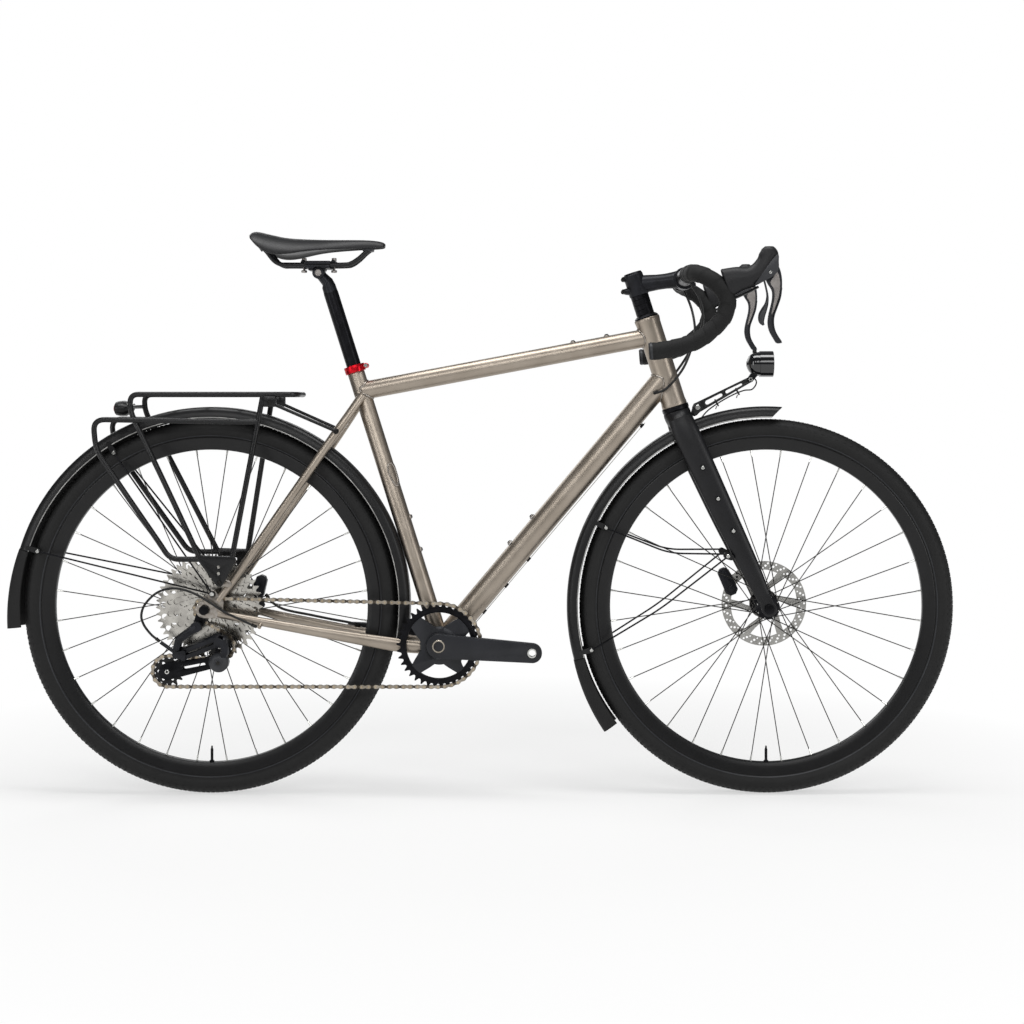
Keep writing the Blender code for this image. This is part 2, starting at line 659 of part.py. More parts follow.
STAY_ROD = 1.6
REAR_BOLTS = ((-747.1, 171.8), (-605.7, 354.6))
FRONT_BOLTS = ((308.2, 215.5), (281.4, -12.0))
FRONT_STAY_BENDS = ((425.2, 169.5), (408.3, 66.7))
FRONT_STAY_CLAMP = (530.2, 166.0)
BOLT_Y = 26.8
RACK_TUBE = 5.0
RACK_BAR = 3.5
DECK_Z = 463.0
RACK_LEG = ((-262, 0, 463), (-263, 34, 463), (-272, 50, 463), (-290, 55, 463), (-420, 55, 463),
            (-545, 56, 463), (-562, 57, 458), (-570, 58, 447), (-568, 59, 433), (-502, 72, 301),
            (-436.5, 85, 168))
RACK_FRONT_LEG = ((-324, 55, 463), (-376, 85, 163))
RACK_RAIL = ((-333, 61, 412), (-460, 64, 414), (-596, 66, 415), (-619, 67, 408), (-631, 69, 390),
             (-628, 72, 362), (-570, 77, 278), (-508, 82, 190), (-492, 84, 168), (-476, 85, 162),
             (-420, 85, 162), (-372, 85, 163))
DECK_BARS = (-310.0, -375.0, -440.0, -505.0)
RACK_ARM_END = (-191.0, 395.0)
FOOT_FACE = 90.4


def fender_bracket(axle, bolt, side):
    """The strap that holds a stay against the fender's side, with its bolt head."""
    away = Vector((bolt[0] - axle[0], bolt[1] - axle[1])).normalized()
    inner = (bolt[0], bolt[1], 4)
    outer = (bolt[0] + away.x * 24, bolt[1] + away.y * 24, 4)
    low, high = sorted((side * (FENDER_HALF + GAP), side * (FENDER_HALF + 1.8)))
    strap = plate([hull([inner, outer], 6)], low, high)
    head = rod(flat(*bolt, side * (FENDER_HALF + 0.6)), flat(*bolt, side * (FENDER_HALF + 4.5)), 3.6, 6)
    return [strap, head]


def make_rear_stays(side, name):
    """Two stays from the dropout's eyelet to the rear fender."""
    root = flat(*STAY_EYELET, side * 80.6)
    shapes = [rod(flat(*STAY_EYELET, side * (DROPOUT_FAR + GAP)), flat(*STAY_EYELET, side * 82.6), 5.5, 8)]
    for bolt in REAR_BOLTS:
        shapes.append(rod(root, flat(*bolt, side * (BOLT_Y + 1)), STAY_ROD, 4))
        shapes += fender_bracket(REAR_AXLE, bolt, side)
    return node(name, fused(*shapes), BLACK_METAL)


def make_front_stays(side, name):
    """Two bent stays from a clamp on the fork blade to the front fender."""
    low, high = sorted((side * 50, side * 60))
    shapes = [plate([hull([(*FRONT_STAY_CLAMP, 6), (537.2, 163, 5)], 8)], low, high)]
    for bolt, bend, drop in zip(FRONT_BOLTS, FRONT_STAY_BENDS, (3, -3)):
        end = flat(FRONT_STAY_CLAMP[0], FRONT_STAY_CLAMP[1] + drop, side * 57)
        path = [flat(*bolt, side * (BOLT_Y + 1)), flat(*bend, side * 45), end]
        shapes.append(tube(path, STAY_ROD, 4))
        shapes += fender_bracket(FRONT_AXLE, bolt, side)
    return node(name, fused(*shapes), BLACK_METAL)


def rack_foot(side):
    """A foot plate with a row of holes, bolted beside the dropout."""
    low, high = sorted((side * 84.4, side * FOOT_FACE))
    loop = hull([(-374, 161, 6), (-432, 163, 6), (*RACK_BOSS, 7)], 8)
    holes = [around((-400, z), 3, 6) for z in (136, 148)]
    bolt = rod(flat(*RACK_BOSS, side * 79.9), flat(*RACK_BOSS, side * (FOOT_FACE + 3)), 4, 6)
    return [plate([loop, *holes], low, high), bolt]


def rack_arm(side):
    """The upper arm from the deck's front to the seatstay."""
    eyelet = rod(flat(*RACK_ARM_END, side * 42.8), flat(*RACK_ARM_END, side * 46.5), 5, 6)
    bar = rod(flat(*RACK_ARM_END, side * 44.5), (-307, side * 55, 446), 3, 5)
    block = box((-322, side * 55 - 6, 440), (-300, side * 55 + 6, 460))
    return [eyelet, bar, block]


def make_rack():
    """The rack: deck hoop with its legs in one bent tube, front legs, pannier rails, bars and feet."""
    right = [Vector((x, -y, z)) for x, y, z in RACK_LEG[::-1]]
    left = [Vector(p) for p in RACK_LEG[1:]]
    shapes = [tube(right + left, RACK_TUBE, 5)]
    for side in (-1, 1):
        shapes.append(tube([(x, side * y, z) for x, y, z in RACK_FRONT_LEG], RACK_TUBE, 5))
        shapes.append(tube([(x, side * y, z) for x, y, z in RACK_RAIL], RACK_TUBE, 5))
        shapes += rack_foot(side)
        shapes += rack_arm(side)
    shapes += [rod((x, -55, DECK_Z), (x, 55, DECK_Z), RACK_BAR, 4) for x in DECK_BARS]
    shapes.append(rod((-571, -58, 440), (-571, 58, 440), RACK_BAR, 4))
    return node("luggage_rack", fused(*shapes), BLACK_METAL)


def make_tail_light():
    """The tail lamp: a rounded housing behind the rack's rear bar."""
    rings = [flat(-608, 437), flat(-606, 437), flat(-590, 437), flat(-579, 439), flat(-575, 440)]
    sizes = ((22, 9), (26, 13), (28, 15), (22, 10), (12, 6))
    return node("tail_light", swept(rings, sized(sizes, 10)), PLASTIC)


def make_light_bracket():
    """The slotted arm from the fork crown to the lamp."""
    arm = [(*ARM_ROOT, 10), (*LAMP_PIVOT, 5.5)]
    slots = [hull([(498, 448, 4), (524, 462, 3.2)], 6), hull([(535, 468, 3), (562, 482, 2)], 6)]
    bore = around(LAMP_PIVOT, 3.0, 8)
    foot = plate([hull([(*ARM_ROOT, 9), (473.9, 428.3, 6)], 8)], -9, 9)
    return node("light_bracket", fused(plate([hull(arm, 8), *slots, bore], -3.5, 3.5), foot), BLACK_METAL)


def make_headlight():
    """The lamp's bowl with its recessed lens and the two ears on the arm's pivot."""
    profile = [(7, 0), (16, 3), (21.5, 10), (23.5, 19), (24.3, 50), (22, 50), (22, 45)]
    bowl = turned(profile, (LAMP_CENTRE[0] - 25.4, 0, LAMP_CENTRE[1]), (1, 0, 0), 16, ring=False)
    ears = [plate([hull([(*LAMP_PIVOT, 5.5), (588, 503, 6)], 8)], *sorted((s * 4, s * 7))) for s in (-1, 1)]
    pin = rod(flat(*LAMP_PIVOT, -6), flat(*LAMP_PIVOT, 6), 2.5, 8)
    return node("headlight", fused(bowl, *ears, pin), GLOSS)


def make_caliper(name, axle, lobes, foot, low, high, disc_y):
    """A brake caliper straddling its rotor, with a slot for the disc and pads."""
    body = plate([hull(lobes, 8)], low, high)
    mount = plate([hull(foot, 8)], disc_y + 2.6, high)
    x, z, radius = lobes[0]
    cap = rod(flat(x, z, low - 2), flat(x, z, low + 3), radius * 0.55, 8)
    disc = rod(flat(*axle, disc_y - 2.2), flat(*axle, disc_y + 2.2), ROTOR_RADIUS + 3, 24)
    return node(name, cut(fused(body, mount, cap), disc), BLACK_METAL)


# Wheels

REAR_ROTOR_Y = 55.0
FRONT_ROTOR_Y = 38.0
ROTOR_HALF = 0.9
ROTOR_BORE = 17.5
ROTOR_ARMS = 6
ROTOR_SLOTS = 6
FRONT_HUB = ((9.5, -50), (10, -38), (22.5, -33.5), (22.5, -29.5), (10, -26), (10, 19),
             (22.5, 22.5), (22.5, 26.5), (17, 28), (17, 41), (9.5, 50))
REAR_HUB = ((9.5, -71), (9.5, -66), (11.7, -66), (11.7, -56), (16.6, -56), (16.6, -22),
            (25, -21.5), (25, -17.5), (12, -14), (12, 29), (23, 32.5), (23, 36.5),
            (17, 39), (17, 58), (9.5, 71))


def make_tyre(name, axle):
    """A tyre with its beads in the rim's channel, widest above the flanges and crowned at the tread."""
    half = [(307, 7.6), (318, 13.5), (330, TYRE_HALF), (343, 15.5), (TYRE_RADIUS, 4.5)]
    profile = half + [(r, -y) for r, y in reversed(half)]
    return node(name, turned(profile, flat(*axle), (0, 1, 0), RIM_SEGMENTS), RUBBER)


def make_rim(name, axle):
    """A deep rim with a well for the beads and a valve at the bottom."""
    half = [(RIM_INNER, 7.0), (RIM_OUTER, 12.2), (306, 8.0)]
    profile = half + [(r, -y) for r, y in reversed(half)]
    ring = turned(profile, flat(*axle), (0, 1, 0), RIM_SEGMENTS)
    valve = rod(polar(axle, 299, 270), polar(axle, 262, 270), 3, 6)
    return node(name, fused(ring, valve), BLACK_METAL)


def spoke(axle, index, flanges, hub_radius):
    """One of the crossed spokes, from its flange hole to its nipple at the rim."""
    step = 360.0 / SPOKES
    rim_angle = 270 + step * (index + 0.5)
    side = index % 2
    lean = 1 if index // 2 % 2 else -1
    y = flanges[side]
    start = polar(axle, hub_radius, rim_angle + lean * 67.5, y + (0.9 if lean > 0 else -0.9))
    end = polar(axle, RIM_INNER * math.cos(math.pi / RIM_SEGMENTS) - 0.6, rim_angle, 2.0 if side else -2.0)
    return tube([start, end], SPOKE_DIAMETER / 2, 3)


def make_hub(name, axle, profile, flanges, hub_radius):
    """A hub turned in one piece with its bore, laced to its spokes."""
    bore = AXLE_RADIUS + GAP + 0.2
    ring = turned([*profile, (bore, profile[-1][1]), (bore, profile[0][1])], flat(*axle), (0, 1, 0), 10)
    spokes = [spoke(axle, i, flanges, hub_radius) for i in range(SPOKES)]
    return node(name, combined(ring, spokes, "UNION", True), BLACK_METAL)


def make_rotor(name, axle, y):
    """A brake rotor: carrier ring, swept arms and a braking band with slots."""
    loops = [around(axle, ROTOR_RADIUS, 24), around(axle, ROTOR_BORE, 10)]
    pitch = 360.0 / ROTOR_ARMS
    for i in range(ROTOR_ARMS):
        start = i * pitch
        inner = [polar(axle, 26, start + a + 24) for a in (6, 48)]
        outer = [polar(axle, 63, start + a) for a in (53, 5)]
        loops.append([(p.x, p.z) for p in inner + outer])
    slot_step = 360.0 / ROTOR_SLOTS
    for i in range(ROTOR_SLOTS):
        places = ((67, 0), (67, 5), (77, 9))
        points = [polar(axle, radius, i * slot_step + a) for radius, a in places]
        loops.append([(p.x, p.z) for p in points])
    return node(name, plate(loops, y - ROTOR_HALF, y + ROTOR_HALF), STEEL, False)


def make_axles():
    """The two thru-axles with their heads on the drive side."""
    rear = fused(rod(flat(*REAR_AXLE, -80), flat(*REAR_AXLE, 79), AXLE_RADIUS, 10),
                 rod(flat(*REAR_AXLE, -82), flat(*REAR_AXLE, -DROPOUT_FAR - GAP), 9, 10))
    node("rear_axle", rear, BLACK_METAL)
    front = fused(rod(flat(*FRONT_AXLE, -63), flat(*FRONT_AXLE, 62), AXLE_RADIUS, 10),
                  rod(flat(*FRONT_AXLE, -64), flat(*FRONT_AXLE, -60 - GAP), 9, 10))
    node("front_axle", front, BLACK_METAL)


# Drive train

ROLLER_HALF = 1.5
RAIL_HALF = 3.3
VALLEY_DEPTH = 5.7
TOOTH_HEIGHT = 2.4
CAGE_Y = SMALL_COG_Y


def pitch_radius(teeth):
    """The radius of the circle on which the chain's pins lie."""
    return PITCH / 2 / math.sin(math.pi / teeth)


SPROCKETS = (
    ("ring", (0.0, 0.0), CHAINRING_TEETH, 1, CHAINRING_Y),
    ("lower", LOWER_PULLEY, LOWER_PULLEY_TEETH, 1, CAGE_Y),
    ("upper", UPPER_PULLEY, UPPER_PULLEY_TEETH, -1, CAGE_Y),
    ("cog", REAR_AXLE, COGS[0], 1, SMALL_COG_Y - 0.25),
)


def tangent(first, second):
    """Where the chain leaves one sprocket and meets the next."""
    (_, a, teeth_a, turn_a, y_a), (_, b, teeth_b, turn_b, y_b) = first, second
    gap = Vector((b[0] - a[0], b[1] - a[1]))
    near, far = turn_a * pitch_radius(teeth_a), turn_b * pitch_radius(teeth_b)
    heading = math.atan2(gap.y, gap.x) - math.asin((near - far) / gap.length)
    nx, nz = -math.sin(heading), math.cos(heading)
    return (a[0] + near * nx, a[1] + near * nz, y_a), (b[0] + far * nx, b[1] + far * nz, y_b), heading


def chain_pins():
    """The chain's pins round its whole loop, and for each sprocket the angle of one pin on it."""
    spans = [tangent(SPROCKETS[i], SPROCKETS[(i + 1) % 4]) for i in range(4)]
    stretches = []
    for i, (name, centre, teeth, turn, y) in enumerate(SPROCKETS):
        arrive, leave = spans[i - 1][2], spans[i][2]
        start = arrive + turn * math.pi / 2
        sweep = (turn * (arrive - leave)) % math.tau
        stretches.append(("arc", sweep / math.tau * teeth, (name, centre, teeth, turn, y, start)))
        (ax, az, ay), (bx, bz, by), _ = spans[i]
        stretches.append(("run", math.dist((ax, az), (bx, bz)) / PITCH, ((ax, ay, az), (bx, by, bz))))
    arcs = sum(s[1] for s in stretches if s[0] == "arc")
    runs = sum(s[1] for s in stretches if s[0] == "run")
    links = 2 * round((arcs + runs) / 2)
    stretch_scale = (links - arcs) / runs
    pins, phases = [], {}
    travelled = 0.0
    for kind, length, data in stretches:
        if kind == "run":
            length *= stretch_scale
        index = math.ceil(travelled - 1e-9)
        while index < travelled + length - 1e-9:
            share = index - travelled
            if kind == "arc":
                name, centre, teeth, turn, y, start = data
                angle = start - turn * share * math.tau / teeth
                phases.setdefault(name, angle)
                pins.append(polar(centre, pitch_radius(teeth), math.degrees(angle), y))
            else:
                a, b = Vector(data[0]), Vector(data[1])
                pin = a + (b - a) * (share / length)
                aside = (share - STRAIGHT_LINKS) / max(length - 2 * STRAIGHT_LINKS, 1)
                pin.y = a.y + (b.y - a.y) * min(max(aside, 0), 1)
                pins.append(pin)
            index += 1
        travelled += length
    return pins[:links], phases


PINS, TOOTH_PHASES = chain_pins()


def make_chain():
    """The chain: two rows of plates tied by a roller at every pin, open between for the teeth."""
    vertices, faces = [], []
    count = len(PINS)
    outer, inner = CHAIN_OUTER_HALF, CHAIN_INNER_HALF
    corners = ((0, 1, outer), (0, -1, outer), (0, -1, inner), (0, 1, inner), (-1, 0, inner), (1, 0, inner))
    for i, pin in enumerate(PINS):
        ahead = PINS[(i + 1) % count] - PINS[i - 1]
        along = Vector((ahead.x, 0, ahead.z)).normalized()
        up = Vector((-along.z, 0, along.x))
        for side in (-1, 1):
            for reach, height, depth in corners:
                aside = Vector((0, side * depth, 0))
                vertices.append(pin + along * (reach * ROLLER_HALF) + up * (height * RAIL_HALF) + aside)
    for i in range(count):
        for side in (0, 6):
            a = i * 12 + side
            b = (i + 1) % count * 12 + side
            faces += [(a, a + 1, b + 1, b), (a + 1, a + 2, b + 2, b + 1), (a + 3, a, b, b + 3)]
            faces += [(a + 3, b + 3, b + 4), (a + 3, b + 4, a + 5)]
            faces += [(a + 5, b + 4, b + 2), (a + 5, b + 2, a + 2)]
        first = i * 12
        for near, far in ((3, 5), (5, 2), (2, 4), (4, 3)):
            faces.append((first + near, first + far, first + far + 6, first + near + 6))
    return node("chain", mesh_object(vertices, faces), CHAIN_STEEL, False)


def toothed(centre, teeth, phase, flat_tip=0.0):
    """A sprocket's outline with a valley under each pin; a flat tip adds a point per tooth."""
    low, high = pitch_radius(teeth) - VALLEY_DEPTH, pitch_radius(teeth) + TOOTH_HEIGHT
    step = math.tau / teeth
    points = []
    for i in range(teeth):
        angle = phase + i * step
        tips = (0.5 - flat_tip, 0.5 + flat_tip) if flat_tip else (0.5,)
        for share, radius in ((0.0, low), *((tip, high) for tip in tips)):
            points.append((centre[0] + radius * math.cos(angle + share * step),
                           centre[1] + radius * math.sin(angle + share * step)))
    return points


def make_cassette():
    """Thirteen cogs in one turned stack, its bore stepped where the two smallest overhang the freehub."""
    phase = TOOTH_PHASES["cog"]
    cog_faces = [SMALL_COG_Y + i * COG_SPACING for i in range(len(COGS))]
    stations = []
    for i, teeth in enumerate(COGS):
        outline = toothed(REAR_AXLE, teeth, phase)
        stations += [(outline, cog_faces[i] - COG_HALF), (outline, cog_faces[i] + COG_HALF)]
        if i + 1 < len(COGS):
            carrier = around(REAR_AXLE, CARRIER_SMALL if i < 2 else CARRIER_LARGE, CARRIER_SIDES)
            stations += [(carrier, cog_faces[i] + COG_HALF), (carrier, cog_faces[i + 1] - COG_HALF)]
    for radius, y in ((BORE_LARGE, stations[-1][1]), (BORE_LARGE, BORE_STEP_Y), (BORE_SMALL, BORE_STEP_Y),
                      (BORE_SMALL, stations[0][1])):
        stations.append((around(REAR_AXLE, radius, CARRIER_SIDES), y))
    vertices, faces, starts = [], [], []
    for loop, y in stations:
        starts.append(len(vertices))
        vertices += [(x, y, z) for x, z in loop]
    for i, (loop, y) in enumerate(stations):
        k = (i + 1) % len(stations)
        after, after_y = stations[k]
        if abs(y - after_y) > 1e-6:
            near, far = starts[i], starts[k]
            faces += [(near + j - 1, near + j, far + j, far + j - 1) for j in range(1, len(loop))]
            faces.append((starts[i] + len(loop) - 1, starts[i], starts[k], starts[k] + len(loop) - 1))
        else:
            numbers = [starts[i] + j for j in range(len(loop))] + [starts[k] + j for j in range(len(after))]
            faces += [tuple(numbers[j] for j in face) for face in filled([loop, after])]
    return node("cassette", mesh_object(vertices, faces), STEEL, False)


def window(radius_in, radius_out, start, end, steps=4):
    """A curved window about the crank's axis."""
    outer = [polar((0, 0), radius_out, start + (end - start) * i / steps) for i in range(steps + 1)]
    middle = polar((0, 0), radius_in, (start + end) / 2)
    return [(p.x, p.z) for p in outer] + [(middle.x, middle.z)]


def make_chainring():
    """The ring of 38 teeth with four lens-shaped windows round its spider."""
    windows = [window(38, 63, centre - 32, centre + 32) for centre in (92, 182, 272)]
    windows += [window(45, 62, 14, 34, 3), window(45, 62, -42, -22, 3)]
    loops = [toothed((0, 0), CHAINRING_TEETH, TOOTH_PHASES["ring"]), around((0, 0), 16, 12), *windows]
    return node("chainring", plate(loops, CHAINRING_Y - 0.9, CHAINRING_Y + 0.9), BLACK_METAL, False)


def crank_arm(side):
    """One arm: a tapering bar with its pedal hole, leaning outwards to the pedal."""
    reach = CRANK_LENGTH * -side
    end = (reach * math.cos(CRANK_ANGLE), reach * math.sin(CRANK_ANGLE))
    low, high = sorted((side * 54, side * 66))
    arm = plate([hull([(0, 0, 23), (*end, 18.5)], 12), around(end, 7, 8)], low, high)
    lean = Matrix.Identity(4)
    lean[1][0] = -0.09
    return moved(arm, lean)


def make_cranks():
    """The right crank with its hollow spindle and spider, and the left one clamped on it."""
    spindle = rod((0, -68, 0), (0, 68, 0), 12, 12)
    boss = rod((0, -68, 0), (0, -48.8, 0), 24, 14)
    spider = rod((0, -52, 0), (0, -48.8, 0), 33, 16)
    right = fused(crank_arm(-1), spindle, boss, spider)
    node("crank_right", cut(right, rod((0, -90, 0), (0, 90, 0), 9, 10)), CARBON)
    left = fused(crank_arm(1), rod((0, 43, 0), (0, 68.5, 0), 22, 14))
    node("crank_left", cut(left, rod((0, 30, 0), (0, 90, 0), 12.8, 12)), CARBON)


# Derailleur

TRAVEL_DIRECTION = SHIFT_TRAVEL.normalized()
LINK_FORWARD = (Vector((1, 0, 0)) - TRAVEL_DIRECTION * TRAVEL_DIRECTION.x).normalized()
SWING_AXIS = LINK_FORWARD.cross(TRAVEL_DIRECTION)
LINK_VECTOR = LINK_FORWARD * LINK_REACH - SHIFT_TRAVEL / 2
FRAME_PIVOT = KNUCKLE_PIVOT - LINK_VECTOR
LINK_HALF = 4.0
PIVOT_RADIUS = 2.0


def in_linkage(shape, origin):
    """A plate of the linkage turned from the side view into the links' plane."""
    turn = Matrix((LINK_FORWARD, SWING_AXIS, -TRAVEL_DIRECTION)).transposed().to_4x4()
    return moved(shape, Matrix.Translation(origin) @ turn)


def make_link(name, offset):
    """One of the two parallel links, bored at both ends."""
    ends = [(0, offset), (LINK_REACH, SHIFT_TRAVEL.length / 2 + offset)]
    loop = hull([(x, z, 4.8) for x, z in ends], 8)
    bores = [around(end, PIVOT_RADIUS + GAP + 0.1, 8) for end in ends]
    return node(name, in_linkage(plate([loop, *bores], -LINK_HALF, LINK_HALF), FRAME_PIVOT), BLACK_METAL)


def clevis(origin, facing):
    """Two cheeks with their pins and the web behind them, open towards the links."""
    half = LINK_SPREAD / 2
    back = facing * 14
    loop = hull([(0, half, 4.5), (0, -half, 4.5), (back, 0, 6)], 8)
    reach = LINK_HALF + 2.8
    shapes = [plate([loop], *sorted((s * (LINK_HALF + 0.4), s * reach))) for s in (-1, 1)]
    shapes.append(plate([hull([(back, 0, 6), (back, half - 2, 4), (back, 2 - half, 4)], 6)], -reach, reach))
    shapes += [rod((0, -reach + 0.5, z), (0, reach - 0.5, z), PIVOT_RADIUS, 6) for z in (-half, half)]
    return [in_linkage(shape, origin) for shape in shapes]


def make_b_knuckle():
    """The knuckle bolted to the hanger, with the cable's barrel adjuster."""
    web = FRAME_PIVOT - LINK_FORWARD * 14
    arm = tube([web, (-472, -86.5, 16), flat(*B_BOLT, -87)], [7.5, 8, 8.5], 8)
    bolt = rod(flat(*B_BOLT, -93), flat(*B_BOLT, -DROPOUT_FAR - GAP), 10, 10)
    barrel = rod(web, (-507, -80.9, 10), 3.5, 6)
    return node("derailleur_b_knuckle", fused(arm, bolt, barrel, *clevis(FRAME_PIVOT, -1)), BLACK_METAL)


def make_p_knuckle():
    """The lower knuckle: a clevis on a round housing for the cage's spring."""
    web = KNUCKLE_PIVOT + LINK_FORWARD * 14
    arm = tube([web, (-388, -89, -6), flat(*CAGE_PIVOT, -85)], [7, 8, 10], 8)
    drum_profile = [(14, -94), (17.5, -91), (17.5, -73.3), (9, -73.3)]
    drum = turned(drum_profile, flat(*CAGE_PIVOT), (0, 1, 0), 14, ring=False)
    return node("derailleur_p_knuckle", fused(drum, arm, *clevis(KNUCKLE_PIVOT, 1)), BLACK_METAL)


def cage_plate(low, high):
    """One side of the cage: a slotted bar to the lower pulley and a short arm to the upper one."""
    arm = plate([hull([(*CAGE_PIVOT, 12), (*UPPER_PULLEY, 8)], 8)], low, high)
    slot = hull([(-466, -39, 3), (-430, -32, 3)], 6)
    bar = plate([hull([(*CAGE_PIVOT, 10), (*LOWER_PULLEY, 16)], 8), slot], low, high)
    return [arm, bar]


def make_cage():
    """The cage: two plates held apart by the pulleys' bolts, and its stub in the lower knuckle."""
    shapes = cage_plate(-70.8, -68.6) + cage_plate(-56.8, -55)
    shapes += [rod(flat(*centre, -72), flat(*centre, -54), 2.6, 6) for centre in (UPPER_PULLEY, LOWER_PULLEY)]
    stub = rod(flat(*CAGE_PIVOT, -73), flat(*CAGE_PIVOT, -69), 8, 10)
    return node("derailleur_cage", fused(stub, *shapes), BLACK_METAL)


def make_pulley(name, centre, teeth, phase):
    """A jockey wheel with its hub and bore."""
    bore = around(centre, 3.1, 6)
    wheel = plate([toothed(centre, teeth, phase), bore], CAGE_Y - COG_HALF, CAGE_Y + COG_HALF)
    hub = plate([around(centre, 7, 8), bore], CAGE_Y - 5, CAGE_Y + 5)
    return node(name, fused(wheel, hub), PLASTIC, False)


# Saddle and cables

HEAD_AXIS = (-228.0, 690.0)
POST_LOW = 372.0
SADDLE_STATIONS = ((-351, 44, 766, 757), (-338, 63, 768, 744), (-312, 72, 761.5, 724),
                   (-282, 71, 755.5, 722), (-245, 56, 753.5, 729), (-205, 36, 752.6, 733),
                   (-165, 24, 752.6, 735), (-128, 19.5, 751.5, 736), (-104, 13, 746.5, 737.5))
SADDLE_UNDERSIDE = ((-0.86, -2.5), (-0.45, 1), (0.45, 1), (0.86, -2.5))
RAIL = ((-322, 31, 727.5), (-312, 29, 716), (-300, 26, 706), (-285, 23, 704.5), (-228, 22, 704.5),
        (-178, 20, 704.5), (-163, 17, 709), (-146, 11, 722), (-136, 9, 732))
HOSE_RADIUS = 2.4
BAR_HOSE_RIGHT = ((461, -96, 665.3), (480, -78, 634), (487, -40, 596), (475, 0, 562), (452, 24, 520),
                  (420, 29, 480), (397, 24.4, 465.4))
BAR_HOSE_LEFT = ((461, 96, 665.3), (474, 76, 628), (478, 40, 590), (472, 2, 560), (452, -26, 512),
                 (420, -30, 474), (397, -24.4, 465.4))
REAR_HOSE = ((-155, 40, 26.3), (-178, 42, 31.7), (-212, 47, 37.2), (-250, 52.3, 44.2), (-300, 58.3, 53.7),
             (-322, 59, 65), (-332, 58, 76), (-337.6, 57, 83.5))
GEAR_LOOP = ((-332, -75.5, 37), (-386, -84, 63.8), (-417, -86.5, 83.8), (-444, -87, 99.3),
             (-470.5, -87, 108), (-492.6, -87, 108), (-515, -86, 99.3), (-534.7, -85, 79.4),
             (-541.5, -84, 59.4), (-537, -83, 41.7), (-523.7, -82, 23.9), (-508.2, -81, 11.2))


def make_seatpost():
    """The seatpost with its setback head."""
    post = rod(SEAT_DIRECTION * POST_LOW, SEAT_DIRECTION * 704, SEATPOST_RADIUS, 14)
    neck = tube([SEAT_DIRECTION * 680, SEAT_DIRECTION * 706, flat(*HEAD_AXIS)], [12, 9.5, 7.5], 8)
    head = rod(flat(*HEAD_AXIS, -16), flat(*HEAD_AXIS, 16), 11, 16)
    return node("seatpost", fused(post, neck, head), BLACK_METAL)


def make_saddle():
    """The padded saddle: a crown over drawn-in sides, wide at the back and narrow at the nose."""
    rings = []
    for x, half, top, low in SADDLE_STATIONS:
        ring = []
        for i in range(11):
            share = math.cos(math.pi * i / 10)
            height = (1 - abs(share) ** 2.6) ** 0.75
            dip = 2.5 * math.exp(-((share / 0.22) ** 2))
            ring.append((x, half * share, low + (top - low) * height - dip))
        ring += [(x, half * share, low + lift) for share, lift in SADDLE_UNDERSIDE]
        rings.append(ring)
    return node("saddle", skinned(rings), LEATHER)


def make_rails():
    """The saddle's two rails, gripped by the cradle that sits on the seatpost's head."""
    rails = [tube(path, 3.5, 6) for path in (RAIL, mirrored(RAIL))]
    cradle = box((-252, -27, 698), (-204, 27, 711))
    saddle_seat = box((-246, -18, 692.5), (-210, 18, 699))
    head = rod(flat(*HEAD_AXIS, -40), flat(*HEAD_AXIS, 40), 11 + GAP, 16)
    bridges = [rod((-321, -31, 726.5), (-321, 31, 726.5), 3, 5), rod((-138, -9, 730), (-138, 9, 730), 3, 5)]
    return node("saddle_rails", cut(fused(cradle, saddle_seat, *rails, *bridges), head), BLACK_METAL)


def make_cables():
    """The hoses from the bar to the down tube, the rear brake's hose and the gear cable's loop."""
    front = [tube(smooth_path(path, 2), HOSE_RADIUS, 6) for path in (BAR_HOSE_RIGHT, BAR_HOSE_LEFT)]
    node("bar_cables", fused(*front), RUBBER)
    node("rear_hose", tube(smooth_path(REAR_HOSE, 2), HOSE_RADIUS, 6), RUBBER)
    node("gear_housing", tube(smooth_path(GEAR_LOOP, 2), 2.2, 6), RUBBER)


